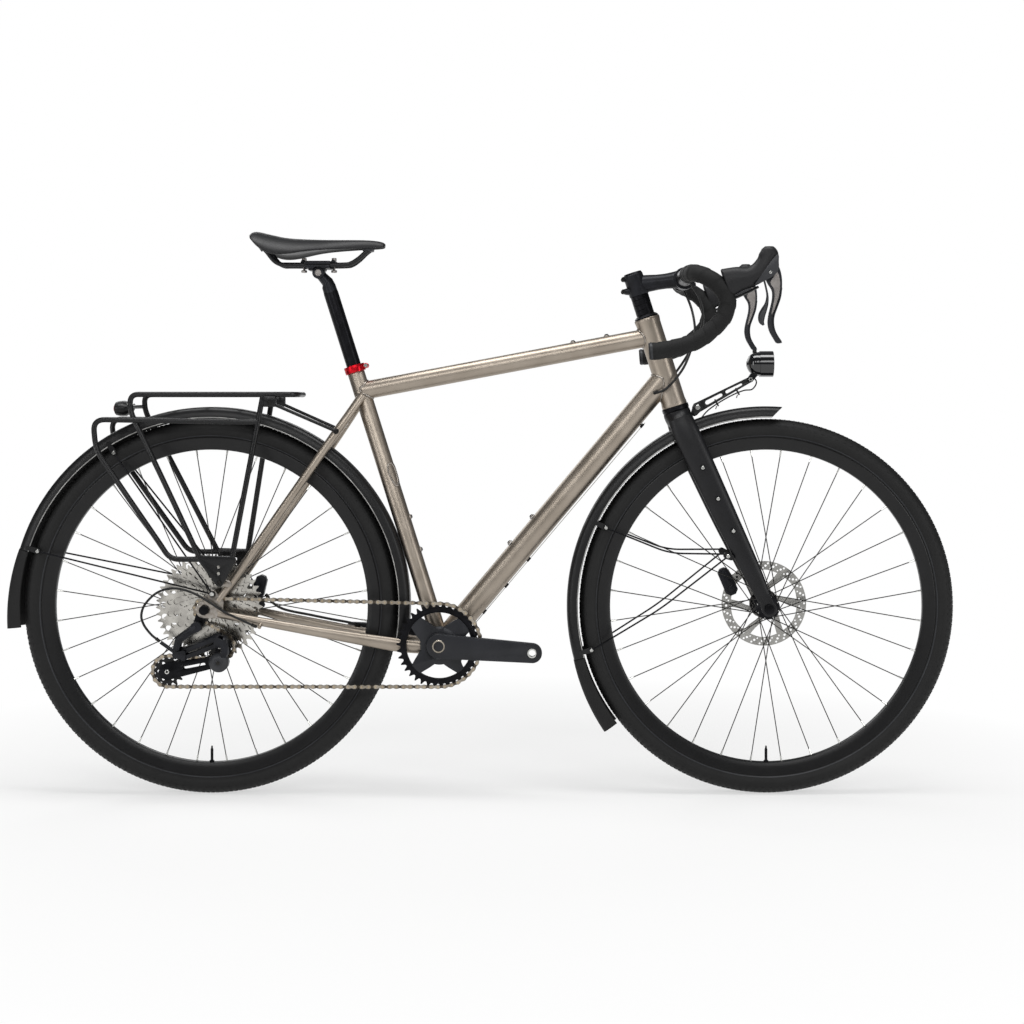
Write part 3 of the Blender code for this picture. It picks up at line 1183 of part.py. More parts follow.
def build_all():
    """Every node, from the frame outwards."""
    make_head_tube()
    make_top_tube()
    make_down_tube()
    make_seat_tube()
    make_bottom_bracket()
    make_rear_triangle()
    make_seat_clamp()
    make_headset()
    make_fork()
    make_stem()
    make_handlebar()
    for side, word in ((-1, "right"), (1, "left")):
        make_tape(side, f"bar_tape_{word}")
        make_hood(side, f"lever_hood_{word}")
        make_lever(side, f"brake_lever_{word}")
        make_rear_stays(side, f"rear_stays_{word}")
        make_front_stays(side, f"front_stays_{word}")
    make_paddle()
    make_fenders()
    make_rack()
    make_tail_light()
    make_light_bracket()
    make_headlight()
    make_caliper("rear_caliper", REAR_AXLE, [(-352, 84, 12), (-345, 110, 11)],
                 [(-352, 76, 8), (-345, 62.7, 6)], 47, 63, REAR_ROTOR_Y)
    make_caliper("front_caliper", FRONT_AXLE, [(546, 96, 13), (533, 124, 12)],
                 [(548, 112, 8), (573, 128, 7)], 30, 47.0, FRONT_ROTOR_Y)
    for word, axle, profile, flanges, radius, y in (
            ("front", FRONT_AXLE, FRONT_HUB, (-31.5, 24.5), 20, FRONT_ROTOR_Y),
            ("rear", REAR_AXLE, REAR_HUB, (-19.5, 34.5), 21, REAR_ROTOR_Y)):
        make_tyre(f"{word}_tyre", axle)
        make_rim(f"{word}_rim", axle)
        make_hub(f"{word}_hub", axle, profile, flanges, radius)
        make_rotor(f"{word}_rotor", axle, y)
    make_axles()
    make_chain()
    make_cassette()
    make_chainring()
    make_cranks()
    make_link("derailleur_outer_link", LINK_SPREAD / 2)
    make_link("derailleur_inner_link", -LINK_SPREAD / 2)
    make_b_knuckle()
    make_p_knuckle()
    make_cage()
    make_pulley("upper_pulley", UPPER_PULLEY, UPPER_PULLEY_TEETH, TOOTH_PHASES["upper"])
    make_pulley("lower_pulley", LOWER_PULLEY, LOWER_PULLEY_TEETH, TOOTH_PHASES["lower"])
    make_seatpost()
    make_saddle()
    make_rails()
    make_cables()


# Assembly: each moving body, what carries it, a point on its joint's axis, the axis and the body's parts

SIDEWAYS = Vector((0, 1, 0))
LINK_OFFSET = TRAVEL_DIRECTION * (LINK_SPREAD / 2)
JOINTS = (
    ("steering", None, HEAD_TOP_POINT, HEAD_DIRECTION,
     ("fork", "stem", "handlebar", "bar_tape_right", "bar_tape_left", "lever_hood_right", "lever_hood_left",
      "front_fender", "front_mudflap", "front_stays_right", "front_stays_left", "light_bracket",
      "front_caliper", "front_axle", "bar_cables")),
    ("headlight_tilt", "steering", flat(*LAMP_PIVOT), SIDEWAYS, ("headlight",)),
    ("right_lever", "steering", flat(*LEVER_PIVOT, HOOD_Y), SIDEWAYS, ("brake_lever_right",)),
    ("left_lever", "steering", flat(*LEVER_PIVOT, -HOOD_Y), SIDEWAYS, ("brake_lever_left",)),
    ("shift", "right_lever", flat(PADDLE_PATH[0][0], PADDLE_Z, HOOD_Y), Vector((1, 0, 0)), ("shift_paddle",)),
    ("front_wheel", "steering", flat(*FRONT_AXLE), SIDEWAYS,
     ("front_tyre", "front_rim", "front_hub", "front_rotor")),
    ("rear_wheel", None, flat(*REAR_AXLE), SIDEWAYS, ("rear_tyre", "rear_rim", "rear_hub", "rear_rotor")),
    ("cassette_spin", None, flat(*REAR_AXLE), SIDEWAYS, ("cassette",)),
    ("crankset", None, Vector((0, 0, 0)), SIDEWAYS, ("chainring", "crank_right", "crank_left")),
    ("outer_link", None, FRAME_PIVOT - LINK_OFFSET, SWING_AXIS, ("derailleur_outer_link",)),
    ("inner_link", None, FRAME_PIVOT + LINK_OFFSET, SWING_AXIS, ("derailleur_inner_link",)),
    ("knuckle", "outer_link", KNUCKLE_PIVOT - LINK_OFFSET, SWING_AXIS, ("derailleur_p_knuckle",)),
    ("cage", "knuckle", flat(*CAGE_PIVOT, CAGE_Y), SIDEWAYS, ("derailleur_cage",)),
    ("upper_pulley_spin", "cage", flat(*UPPER_PULLEY, CAGE_Y), SIDEWAYS, ("upper_pulley",)),
    ("lower_pulley_spin", "cage", flat(*LOWER_PULLEY, CAGE_Y), SIDEWAYS, ("lower_pulley",)),
    ("post_slide", None, SEAT_DIRECTION * SEAT_TUBE_LENGTH, SEAT_DIRECTION, ("seatpost",)),
    ("saddle_tilt", "post_slide", flat(*HEAD_AXIS), SIDEWAYS, ("saddle", "saddle_rails")),
)


def hang(piece, carrier, place):
    """Ties a piece to what carries it and leaves it where it stands."""
    piece.parent = carrier
    piece.matrix_parent_inverse = place.inverted()


def make_joints():
    """An empty on each joint's axis, its Z along the axis, with the parts it moves hung on it."""
    empties, places = {}, {}
    for name, carrier, point, axis, parts in JOINTS:
        empty = bpy.data.objects.new(f"{name}_joint", None)
        bpy.context.scene.collection.objects.link(empty)
        place = Matrix.Translation(point * MM) @ axis.to_track_quat("Z", "Y").to_matrix().to_4x4()
        empty.matrix_basis = place
        if carrier:
            hang(empty, empties[carrier], places[carrier])
        empties[name], places[name] = empty, place
        for part in parts:
            hang(NODES[part], empty, place)


build_all()
make_joints()
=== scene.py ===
import json
import math

import bmesh
import bpy
from mathutils import Matrix, Vector

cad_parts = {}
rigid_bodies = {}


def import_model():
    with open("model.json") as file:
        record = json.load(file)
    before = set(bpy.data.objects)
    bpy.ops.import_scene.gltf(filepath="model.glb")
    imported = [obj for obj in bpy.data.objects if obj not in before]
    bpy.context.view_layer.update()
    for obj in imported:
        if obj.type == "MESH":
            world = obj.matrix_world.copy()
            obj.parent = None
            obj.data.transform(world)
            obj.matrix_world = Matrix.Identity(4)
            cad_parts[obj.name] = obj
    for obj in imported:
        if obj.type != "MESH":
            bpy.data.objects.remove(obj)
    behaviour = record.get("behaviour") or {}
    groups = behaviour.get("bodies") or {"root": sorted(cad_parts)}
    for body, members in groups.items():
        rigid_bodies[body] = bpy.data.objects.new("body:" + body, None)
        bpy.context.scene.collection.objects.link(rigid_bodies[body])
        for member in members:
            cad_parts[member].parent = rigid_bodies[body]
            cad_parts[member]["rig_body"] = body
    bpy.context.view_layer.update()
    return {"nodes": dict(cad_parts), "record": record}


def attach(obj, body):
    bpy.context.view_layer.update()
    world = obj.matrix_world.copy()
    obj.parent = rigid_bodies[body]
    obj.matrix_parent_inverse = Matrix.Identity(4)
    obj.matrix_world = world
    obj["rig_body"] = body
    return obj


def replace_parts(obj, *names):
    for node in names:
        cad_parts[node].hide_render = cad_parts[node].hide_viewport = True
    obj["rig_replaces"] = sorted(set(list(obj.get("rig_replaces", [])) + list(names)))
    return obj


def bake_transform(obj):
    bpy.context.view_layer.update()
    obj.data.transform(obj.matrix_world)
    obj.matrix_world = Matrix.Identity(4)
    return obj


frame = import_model()
print("frame loaded:", len(frame["nodes"]), "nodes")

mm = 0.001
rearAxle = Vector((-428.6, 0, 68.0))
frontAxle = Vector((608.4, 0, 68.0))
seatAngle = math.radians(72.5)
headAngle = math.radians(72.3)
seatWay = Vector((-math.cos(seatAngle), 0, math.sin(seatAngle)))
headWay = Vector((-math.cos(headAngle), 0, math.sin(headAngle)))
headTop = Vector((385.1, 0, 605.8))
headLow = headTop - headWay * 172.6


# Colours and shader nodes

def fromHex(text):
    # sRGB hex to the linear colour that a shader wants
    parts = [int(text[i:i + 2], 16) / 255 for i in (0, 2, 4)]
    return tuple(c / 12.92 if c <= 0.04045 else ((c + 0.055) / 1.055) ** 2.4 for c in parts) + (1.0,)


def addNode(tree, kind, settings=None, links=None):
    node = tree.nodes.new("ShaderNode" + kind)
    for key, value in (settings or {}).items():
        if isinstance(key, str) and hasattr(node, key):
            setattr(node, key, value)
        else:
            node.inputs[key].default_value = value
    for key, socket in (links or {}).items():
        tree.links.new(socket, node.inputs[key])
    return node


def newFinish(name, colour, roughness, metallic=0.0, **more):
    finish = bpy.data.materials.new(name)
    finish.use_nodes = True
    tree = finish.node_tree
    shader = tree.nodes["Principled BSDF"]
    shader.inputs["Base Color"].default_value = fromHex(colour)
    shader.inputs["Roughness"].default_value = roughness
    shader.inputs["Metallic"].default_value = metallic
    shader.inputs["Specular IOR Level"].default_value = 0.32
    for key, value in more.items():
        shader.inputs[key.replace("_", " ")].default_value = value
    return finish, tree, shader


def placed(tree, scale=(1, 1, 1), turn=(0, 0, 0)):
    # object coordinates, turned and stretched for a pattern
    coordinates = addNode(tree, "TexCoord")
    return addNode(tree, "Mapping", {"vector_type": "TEXTURE", "Scale": scale, "Rotation": turn},
                   {"Vector": coordinates.outputs["Object"]}).outputs["Vector"]


def grain(tree, sizeMm, detail=3.0, stretch=(1, 1, 1), turn=(0, 0, 0)):
    # noise whose grains are about sizeMm across, drawn out by stretch
    vector = placed(tree, stretch, turn)
    noise = addNode(tree, "TexNoise", {"Scale": 1 / (sizeMm * mm * 2), "Detail": detail}, {"Vector": vector})
    return noise.outputs["Fac"]


def between(tree, value, low, high, fromLow=0.3, fromHigh=0.7):
    return addNode(tree, "MapRange", {"From Min": fromLow, "From Max": fromHigh, "To Min": low, "To Max": high},
                   {"Value": value}).outputs["Result"]


def tinted(tree, shader, value, dark, light):
    share = between(tree, value, 0.0, 1.0)
    mixed = addNode(tree, "Mix", {"data_type": "RGBA", 6: fromHex(dark), 7: fromHex(light)}, {0: share})
    tree.links.new(mixed.outputs[2], shader.inputs["Base Color"])


def raised(tree, shader, value, depthMm, strength=1.0):
    bump = addNode(tree, "Bump", {"Strength": strength, "Distance": depthMm * mm}, {"Height": value})
    tree.links.new(bump.outputs["Normal"], shader.inputs["Normal"])


def brushedTitanium(name):
    # bare titanium tube with a fine satin brushing: warm grey
    finish, tree, shader = newFinish(name, "a0968a", 0.32, 1.0)
    cloud = grain(tree, 26, 2.0)
    tinted(tree, shader, cloud, "978d81", "a79d91")
    tree.links.new(between(tree, cloud, 0.36, 0.41), shader.inputs["Roughness"])
    return finish


def weldedBead(name):
    # TIG bead in titanium: smoother and a shade bluer than the brushed tube
    finish, tree, shader = newFinish(name, "99948e", 0.3, 1.0)
    cloud = grain(tree, 3, 2.0)
    tinted(tree, shader, cloud, "877f76", "a6a19b")
    return finish


def speckled(name, dark, light, roughness, metallic, sizeMm, depthMm, spread=0.06, **more):
    # a plain finish whose colour, roughness and surface vary at one grain
    finish, tree, shader = newFinish(name, light, roughness, metallic, **more)
    fine = grain(tree, sizeMm, 4.0)
    cloud = grain(tree, sizeMm * 25, 2.0)
    tinted(tree, shader, cloud, dark, light)
    tree.links.new(between(tree, fine, roughness - spread, roughness + spread), shader.inputs["Roughness"])
    raised(tree, shader, fine, depthMm, 0.6)
    return finish


def pebbled(name, dark, light, roughness, cellMm, depthMm):
    # moulded or pressed skin with small rounded cells, as on saddle covers and lever hoods
    finish, tree, shader = newFinish(name, light, roughness)
    vector = placed(tree)
    cells = addNode(tree, "TexVoronoi", {"Scale": 1 / (cellMm * mm)}, {"Vector": vector}).outputs["Distance"]
    cloud = grain(tree, 30, 3.0)
    tinted(tree, shader, cloud, dark, light)
    tree.links.new(between(tree, cells, roughness + 0.08, roughness - 0.05, 0.0, 0.7), shader.inputs["Roughness"])
    raised(tree, shader, cells, depthMm, 0.5)
    return finish


def turnedSteel(name, colour, dark, axle, roughness=0.26):
    # ground steel disc: fine rings about its axle
    finish, tree, shader = newFinish(name, colour, roughness, 1.0)
    coordinates = addNode(tree, "TexCoord")
    centred = addNode(tree, "Mapping", {"Location": tuple(-axle * mm)}, {"Vector": coordinates.outputs["Object"]})
    flat = addNode(tree, "VectorMath", {"operation": "MULTIPLY", 1: (1, 0, 1)}, {0: centred.outputs["Vector"]})
    radius = addNode(tree, "VectorMath", {"operation": "LENGTH"}, {0: flat.outputs["Vector"]}).outputs["Value"]
    rings = addNode(tree, "TexNoise", {"noise_dimensions": "1D", "Scale": 1 / (0.9 * mm), "Detail": 2.0},
                    {"W": radius}).outputs["Fac"]
    tinted(tree, shader, rings, dark, colour)
    tree.links.new(between(tree, rings, roughness - 0.05, roughness + 0.12), shader.inputs["Roughness"])
    return finish


finishes = {
    "topTitanium": brushedTitanium("topTitanium"),
    "downTitanium": brushedTitanium("downTitanium"),
    "seatTitanium": brushedTitanium("seatTitanium"),
    "headTitanium": brushedTitanium("headTitanium"),
    "stayTitanium": brushedTitanium("stayTitanium"),
    "seatstayTitanium": brushedTitanium("seatstayTitanium"),
    "weldBead": weldedBead("weldBead"),
    # satin lacquer over carbon: deep black with a soft, broad highlight
    "satinCarbon": speckled("satinCarbon", "0d0d0f", "131316", 0.4, 0.0, 0.6, 0.01),
    # black anodised aluminium: a metal under a dark skin, tighter highlight than paint
    "blackAnodised": speckled("blackAnodised", "141416", "1d1d20", 0.36, 0.85, 0.3, 0.01),
    # carbon crank under a satin lacquer
    "crankCarbon": speckled("crankCarbon", "202124", "2c2d31", 0.34, 0.2, 1.2, 0.01),
    "forgedBlack": speckled("forgedBlack", "17181b", "232429", 0.4, 0.5, 0.5, 0.02),
    # red anodised aluminium clamp
    "redAnodised": speckled("redAnodised", "a80f1c", "cf1a26", 0.3, 0.9, 0.3, 0.01),
    # powder-coated steel rack: black with a faint orange peel
    "powderCoat": speckled("powderCoat", "0f0f10", "161617", 0.3, 0.0, 1.6, 0.05),
    # injection-moulded polycarbonate fender skin
    "mouldedBlack": speckled("mouldedBlack", "0c0c0d", "121213", 0.38, 0.0, 1.2, 0.02),
    "moulderGrey": speckled("moulderGrey", "2a2b2e", "37383b", 0.42, 0.0, 0.8, 0.02),
    # soft rubber flaps, hoods and tyres
    "flapRubber": speckled("flapRubber", "0e0e0e", "151515", 0.62, 0.0, 0.8, 0.05),
    "tyreRubber": speckled("tyreRubber", "0d0d0d", "131313", 0.6, 0.0, 0.7, 0.08),
    "hoodRubber": pebbled("hoodRubber", "121214", "19191b", 0.52, 1.8, 0.12),
    # wound bar tape: foam with a matt cork-like face
    "barTape": speckled("barTape", "0d0d0d", "141414", 0.74, 0.0, 0.7, 0.18, 0.08),
    "saddleSkin": pebbled("saddleSkin", "0e0e10", "151517", 0.46, 0.9, 0.05),
    "rimSkin": speckled("rimSkin", "0b0b0c", "101011", 0.33, 0.0, 0.4, 0.01),
    # black-oxide stainless spoke
    "spokeSteel": speckled("spokeSteel", "2c2b2a", "3b3a38", 0.3, 1.0, 0.5, 0.0),
    "silverSteel": speckled("silverSteel", "b9b9b6", "d2d2ce", 0.24, 1.0, 0.4, 0.005),
    # nickel-plated stamped cogs: pale, slightly warm, satin
    "nickelPlate": speckled("nickelPlate", "a5a29c", "c8c5be", 0.2, 1.0, 0.5, 0.0, 0.03),
    "chainOuter": speckled("chainOuter", "8c8478", "aaa296", 0.24, 1.0, 0.4, 0.0, 0.03),
    "chainInner": speckled("chainInner", "453f37", "5c544a", 0.36, 1.0, 0.4, 0.01),
    "frontDisc": turnedSteel("frontDisc", "bcbbb7", "8f8e8a", frontAxle),
    "rearDisc": turnedSteel("rearDisc", "bcbbb7", "8f8e8a", rearAxle),
    "glossLamp": speckled("glossLamp", "08080a", "0d0d10", 0.1, 0.0, 2.0, 0.0, 0.03,
                          Coat_Weight=1.0, Coat_Roughness=0.03),
    "housingPvc": speckled("housingPvc", "131313", "1b1b1b", 0.4, 0.0, 0.5, 0.01),
    "leverGrey": speckled("leverGrey", "8b8683", "a39e9a", 0.34, 0.8, 0.4, 0.01),
    # painted highlight: a pale colour for the light along a fender's rolled lower edge
    "paintedEdgeHighlight": speckled("paintedEdgeHighlight", "7d7c7a", "b4b3b0", 0.4, 0.0, 0.4, 0.0),
    "bronzePin": speckled("bronzePin", "a8967a", "c4b294", 0.25, 1.0, 0.4, 0.0),
}

# clear lamp glass and the tail light's red lens
finishes["lensGlass"] = newFinish("lensGlass", "f4f7f8", 0.04, 0.0, Transmission_Weight=0.92, IOR=1.49)[0]
finishes["redLens"] = newFinish("redLens", "9c0d12", 0.12, 0.0, Coat_Weight=0.6)[0]
print("finishes made:", len(finishes))


# Shapes, all from bmesh operators

def point(x, z, y=0.0):
    return Vector((x, y, z))


def mirrorPoints(points):
    return [Vector((p[0], -p[1], p[2])) for p in points]


def polar(centre, radius, degrees, y=0.0):
    angle = math.radians(degrees)
    return Vector((centre.x + radius * math.cos(angle), y, centre.z + radius * math.sin(angle)))


def curved(points, steps=8):
    # a smooth path through given points
    points = [Vector(p) for p in points]
    ends = [points[0] * 2 - points[1], *points, points[-1] * 2 - points[-2]]
    path = []
    for i in range(1, len(ends) - 2):
        a, b, c, d = ends[i - 1:i + 3]
        for j in range(steps):
            t = j / steps
            bend, twist = 2 * a - 5 * b + 4 * c - d, 3 * b - a - 3 * c + d
            path.append(0.5 * (2 * b + (c - a) * t + bend * t * t + twist * t ** 3))
    path.append(points[-1])
    return path


def blended(values, steps=8):
    # sizes along a curved path, eased the same way as its points
    return [Vector(v) for v in curved([(*v, 0) if len(v) == 2 else v for v in values], steps)]


def rounded(points, radius, steps=6):
    # a bent tube's line: straight runs with a bend of the given radius at each corner
    points = [Vector(p) for p in points]
    path = [points[0]]
    for before, corner, after in zip(points, points[1:], points[2:]):
        toBefore, toAfter = (before - corner), (after - corner)
        reach = min(radius, toBefore.length * 0.49, toAfter.length * 0.49)
        start, end = corner + toBefore.normalized() * reach, corner + toAfter.normalized() * reach
        for j in range(steps + 1):
            t = j / steps
            path.append(start * (1 - t) ** 2 + corner * 2 * t * (1 - t) + end * t * t)
    path.append(points[-1])
    return path


def ringPlaces(points, across=(0, 1, 0), closed=False):
    # where each section of a sweep stands: its sides lie across and up, its face looks ahead
    places = []
    side = Vector(across).normalized()
    last = len(points) - 1
    if abs((points[1] - points[0]).normalized().dot(side)) > 0.9:
        side = Vector((1, 0, 0))
    for i, here in enumerate(points):
        before = points[i - 1] if i or closed else here
        after = points[(i + 1) % len(points)] if i < last or closed else here
        ahead = (after - before).normalized()
        side = (side - ahead * side.dot(ahead)).normalized()
        place = Matrix((side, ahead.cross(side), ahead)).transposed().to_4x4()
        place.translation = here * mm
        places.append(place)
    return places


def sweep(bm, points, sizes, outline=24, across=(0, 1, 0), closed=False):
    # an outline carried along a path, ring by ring; sizes is one pair or one pair for each point
    points = [Vector(p) for p in points]
    places = ringPlaces(points, across, closed)
    if not hasattr(sizes[0], "__len__"):
        sizes = [sizes] * len(points)
    if isinstance(outline, int):
        step = math.tau / outline
        outline = [(math.cos(i * step), math.sin(i * step)) for i in range(outline)]
    stations = [place @ Matrix.Diagonal((size[0], size[1], 1, 1)) for place, size in zip(places, sizes)]
    corners = [bm.verts.new(stations[0] @ Vector((u * mm, v * mm, 0))) for u, v in outline]
    ring = [bm.edges.new((corners[i - 1], corners[i])) for i in range(len(corners))]
    firstRing = list(ring)
    for before, after in zip(stations, stations[1:]):
        made = bmesh.ops.extrude_edge_only(bm, edges=ring)["geom"]
        fresh = {v for v in made if isinstance(v, bmesh.types.BMVert)}
        ring = [e for e in made if isinstance(e, bmesh.types.BMEdge) and e.verts[0] in fresh and e.verts[1] in fresh]
        bmesh.ops.transform(bm, matrix=after @ before.inverted(), verts=list(fresh))
    if closed:
        bmesh.ops.bridge_loops(bm, edges=ring + firstRing)
    else:
        bmesh.ops.edgeloop_fill(bm, edges=firstRing)
        bmesh.ops.edgeloop_fill(bm, edges=ring)
    return bm


def rod(bm, start, end, radius, sides=24, endRadius=None):
    wide = radius if endRadius is None else endRadius
    return sweep(bm, [start, end], [(radius, radius), (wide, wide)], sides)


def lathe(bm, profile, centre, axis=(0, 1, 0), steps=96):
    # a closed profile of (radius, height) spun about an axis
    axis = Vector(axis).normalized()
    start = Vector((1, 0, 0)) if abs(axis.x) < 0.9 else Vector((0, 0, 1))
    out = (start - axis * start.dot(axis)).normalized()
    centre = Vector(centre) * mm
    corners = [bm.verts.new(centre + (out * r + axis * h) * mm) for r, h in profile]
    edges = [bm.edges.new((corners[i - 1], corners[i])) for i in range(len(corners))]
    bmesh.ops.spin(bm, geom=corners + edges, cent=centre, axis=axis, angle=math.tau, steps=steps, use_merge=True,
                   use_duplicate=False)
    return bm


def discShape(bm, loops, low, high):
    # a flat outline with its holes, pulled up into a plate between two depths
    edges = []
    for loop in loops:
        ring = [bm.verts.new((x * mm, low * mm, z * mm)) for x, z in loop]
        edges += [bm.edges.new((ring[i - 1], ring[i])) for i in range(len(ring))]
    filled = bmesh.ops.triangle_fill(bm, edges=edges, use_beauty=True)["geom"]
    faces = [f for f in filled if isinstance(f, bmesh.types.BMFace)]
    pulled = bmesh.ops.extrude_face_region(bm, geom=faces, use_keep_orig=True)["geom"]
    raisedVerts = [v for v in pulled if isinstance(v, bmesh.types.BMVert)]
    bmesh.ops.translate(bm, vec=(0, (high - low) * mm, 0), verts=raisedVerts)
    return bm


def circlePoints(centre, radius, count, turn=0.0):
    step = math.tau / count
    return [(centre[0] + radius * math.cos(i * step + turn), centre[1] + radius * math.sin(i * step + turn))
            for i in range(count)]


def belt(circles, count=32):
    # the outline of a belt round circles given as (x, z, radius)
    cloud = sorted({spot for x, z, r in circles for spot in circlePoints((x, z), r, count)})

    def half(spots):
        chain = []
        for p in spots:
            while len(chain) > 1:
                (ax, az), (bx, bz) = chain[-2:]
                if (bx - ax) * (p[1] - az) - (bz - az) * (p[0] - ax) > 1e-6:
                    break
                chain.pop()
            chain.append(p)
        return chain[:-1]

    return half(cloud) + half(list(reversed(cloud)))


def block(bm, low, high, bevelMm=0.0):
    made = bmesh.ops.create_cube(bm, size=1.0)["verts"]
    size = [(b - a) * mm for a, b in zip(low, high)]
    middle = [(a + b) / 2 * mm for a, b in zip(low, high)]
    bmesh.ops.scale(bm, vec=size, verts=made)
    bmesh.ops.translate(bm, vec=middle, verts=made)
    if bevelMm:
        edges = list({e for v in made for e in v.link_edges})
        bmesh.ops.bevel(bm, geom=edges, offset=bevelMm * mm, affect="EDGES", segments=2, profile=0.5, material=-1)
    return bm


def softened(bm, widthMm, segments=2, angle=40):
    # rounds the sharp edges of everything in the mesh so far
    bmesh.ops.recalc_face_normals(bm, faces=bm.faces)
    bmesh.ops.dissolve_limit(bm, angle_limit=math.radians(1), verts=bm.verts, edges=bm.edges)
    sharp = [e for e in bm.edges if len(e.link_faces) == 2 and e.calc_face_angle(0) > math.radians(angle)]
    bmesh.ops.bevel(bm, geom=sharp, offset=widthMm * mm, affect="EDGES", segments=segments, profile=0.5, material=-1,
                    clamp_overlap=True)
    return bm


def finishPiece(bm, name, finish, body, replaced=(), angle=38, subdivide=0):
    bmesh.ops.remove_doubles(bm, verts=bm.verts, dist=1e-7)
    bmesh.ops.recalc_face_normals(bm, faces=bm.faces)
    mesh = bpy.data.meshes.new(name)
    bm.to_mesh(mesh)
    bm.free()
    mesh.shade_smooth()
    mesh.set_sharp_from_angle(angle=math.radians(angle))
    mesh.materials.append(finishes[finish])
    piece = bpy.data.objects.new(name, mesh)
    bpy.context.scene.collection.objects.link(piece)
    if subdivide:
        smoother = piece.modifiers.new("smoother", "SUBSURF")
        smoother.levels = smoother.render_levels = subdivide
    if body:
        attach(piece, body)
    if replaced:
        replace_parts(piece, *replaced)
    return piece


def dressNode(node, finish, bevelMm=0.0, angle=38):
    # a smooth-shaded copy of a CAD solid, its edges broken as a machined part's are
    bm = bmesh.new()
    bm.from_mesh(frame["nodes"][node].data)
    bmesh.ops.remove_doubles(bm, verts=bm.verts, dist=1e-6)
    if bevelMm:
        softened(bm, bevelMm)
    else:
        bmesh.ops.dissolve_limit(bm, angle_limit=math.radians(0.5), verts=bm.verts, edges=bm.edges)
    return finishPiece(bm, node + "_surface", finish, frame["nodes"][node]["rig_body"], (node,), angle)


# Wheels

def stamp(bm, mesh, place):
    # one more copy of a finished small mesh, moved to its place
    first = len(bm.verts)
    bm.from_mesh(mesh)
    bm.verts.ensure_lookup_table()
    bmesh.ops.transform(bm, matrix=place, verts=bm.verts[first:])


def ringOf(bm, count, axle, makeOne):
    # the same small shape repeated round an axle
    row = bmesh.new()
    makeOne(row)
    bmesh.ops.spin(row, geom=row.verts[:] + row.edges[:] + row.faces[:], cent=axle * mm, axis=(0, 1, 0),
                   angle=math.tau * (count - 1) / count, steps=count - 1, use_duplicate=True)
    mesh = bpy.data.meshes.new("row")
    row.to_mesh(mesh)
    row.free()
    bm.from_mesh(mesh)
    bpy.data.meshes.remove(mesh)


tyreFacts = {
    "section": ((307, 7.6), (311.5, 9.4), (315.8, 11), (320, 15), (325, 18.3), (330, 19.6), (335, 19.2), (340, 17),
                (344, 13.4), (346.8, 9), (348.3, 4.5), (348.7, 0)),
    # rows of knobs: radius of their foot, depth of the row, count, length and width in mm, and lean of the row
    "knobs": ((348.2, 0.0, 250, 4.6, 3.6, 0), (347.6, 4.6, 250, 4.2, 2.8, 14), (346.0, 8.6, 200, 5.0, 2.8, 30),
              (342.6, 13.2, 170, 5.2, 4.2, 46), (337.4, 17.1, 150, 6.4, 4.4, 66)),
    "knobHeight": 1.5,
}


def makeTyre(name, axle, body):
    facts = tyreFacts
    bm = bmesh.new()
    half = list(facts["section"])
    lathe(bm, half + [(r, -y) for r, y in reversed(half[:-1])], axle, steps=160)
    for radius, depth, count, length, width, lean in facts["knobs"]:
        for side in ((1, -1) if depth else (1,)):
            def knob(row):
                made = bmesh.ops.create_cube(row, size=1.0)["verts"]
                top = [v for v in made if v.co.z > 0]
                bmesh.ops.scale(row, vec=(0.72, 0.72, 1), verts=top)
                bmesh.ops.scale(row, vec=(length * mm, width * mm, facts["knobHeight"] * 2 * mm), verts=made)
                bmesh.ops.rotate(row, matrix=Matrix.Rotation(-side * math.radians(lean), 3, "X"), verts=made)
                turn = 0.5 * 360 / count if int(depth * 10) % 4 else 0
                place = Matrix.Rotation(math.radians(turn), 4, "Y")
                bmesh.ops.translate(row, vec=(0, side * depth * mm, radius * mm), verts=made)
                bmesh.ops.transform(row, matrix=Matrix.Translation(axle * mm) @ place, verts=made)
            ringOf(bm, count, axle, knob)
    return finishPiece(bm, name, "tyreRubber", body, (name.replace("Tread", "_tyre"),), 50)


def makeSidewallLine(name, axle, body):
    # the thin bead line that every tyre has just above its rim, coloured lighter grey than the tyre as a painted
    # highlight along the rim's edge
    bm = bmesh.new()
    for side in (1, -1):
        lathe(bm, [(317.2, side * 12.2), (318.2, side * 13.9), (319.2, side * 14.6), (319, side * 13)], axle, steps=160)
    # lighter grey than the tyre rubber: painted highlight
    return finishPiece(bm, name, "moulderGrey", body, ())


def makeRim(name, axle, body, node):
    bm = bmesh.new()
    half = [(291.8, 4.6), (292.6, 6.8), (295.5, 8.3), (302, 9.9), (309, 11.4), (314, 12.3), (315.1, 11.9), (315, 10.9),
            (307, 9.2), (306, 7.8)]
    lathe(bm, half + [(r, -y) for r, y in reversed(half)], axle, steps=160)
    finishPiece(bm, name, "rimSkin", body, (node,), 30)
    valve = bmesh.new()
    for low, high, wide, thin in ((292, 289.5, 4.6, 4.6), (289.5, 268, 2.7, 2.7), (268, 262.3, 2.0, 1.4)):
        rod(valve, polar(axle, low, 270), polar(axle, high, 270), wide, 12, thin)
    finishPiece(valve, name + "Valve", "blackAnodised", body, ())


wheelFacts = {"spokes": 32, "spokeRadius": 0.95, "reach": 291.6, "lean": 67.5}


def spokeEnds(index, axle, flanges, hubRadius):
    step = 360.0 / wheelFacts["spokes"]
    rimAngle = 270 + step * (index + 0.5)
    side = index % 2
    lean = 1 if index // 2 % 2 else -1
    outside = 1.6 if lean > 0 else -1.6
    start = polar(axle, hubRadius, rimAngle + lean * wheelFacts["lean"], flanges[side] + outside)
    end = polar(axle, wheelFacts["reach"], rimAngle, 2.0 if side else -2.0)
    return start, end


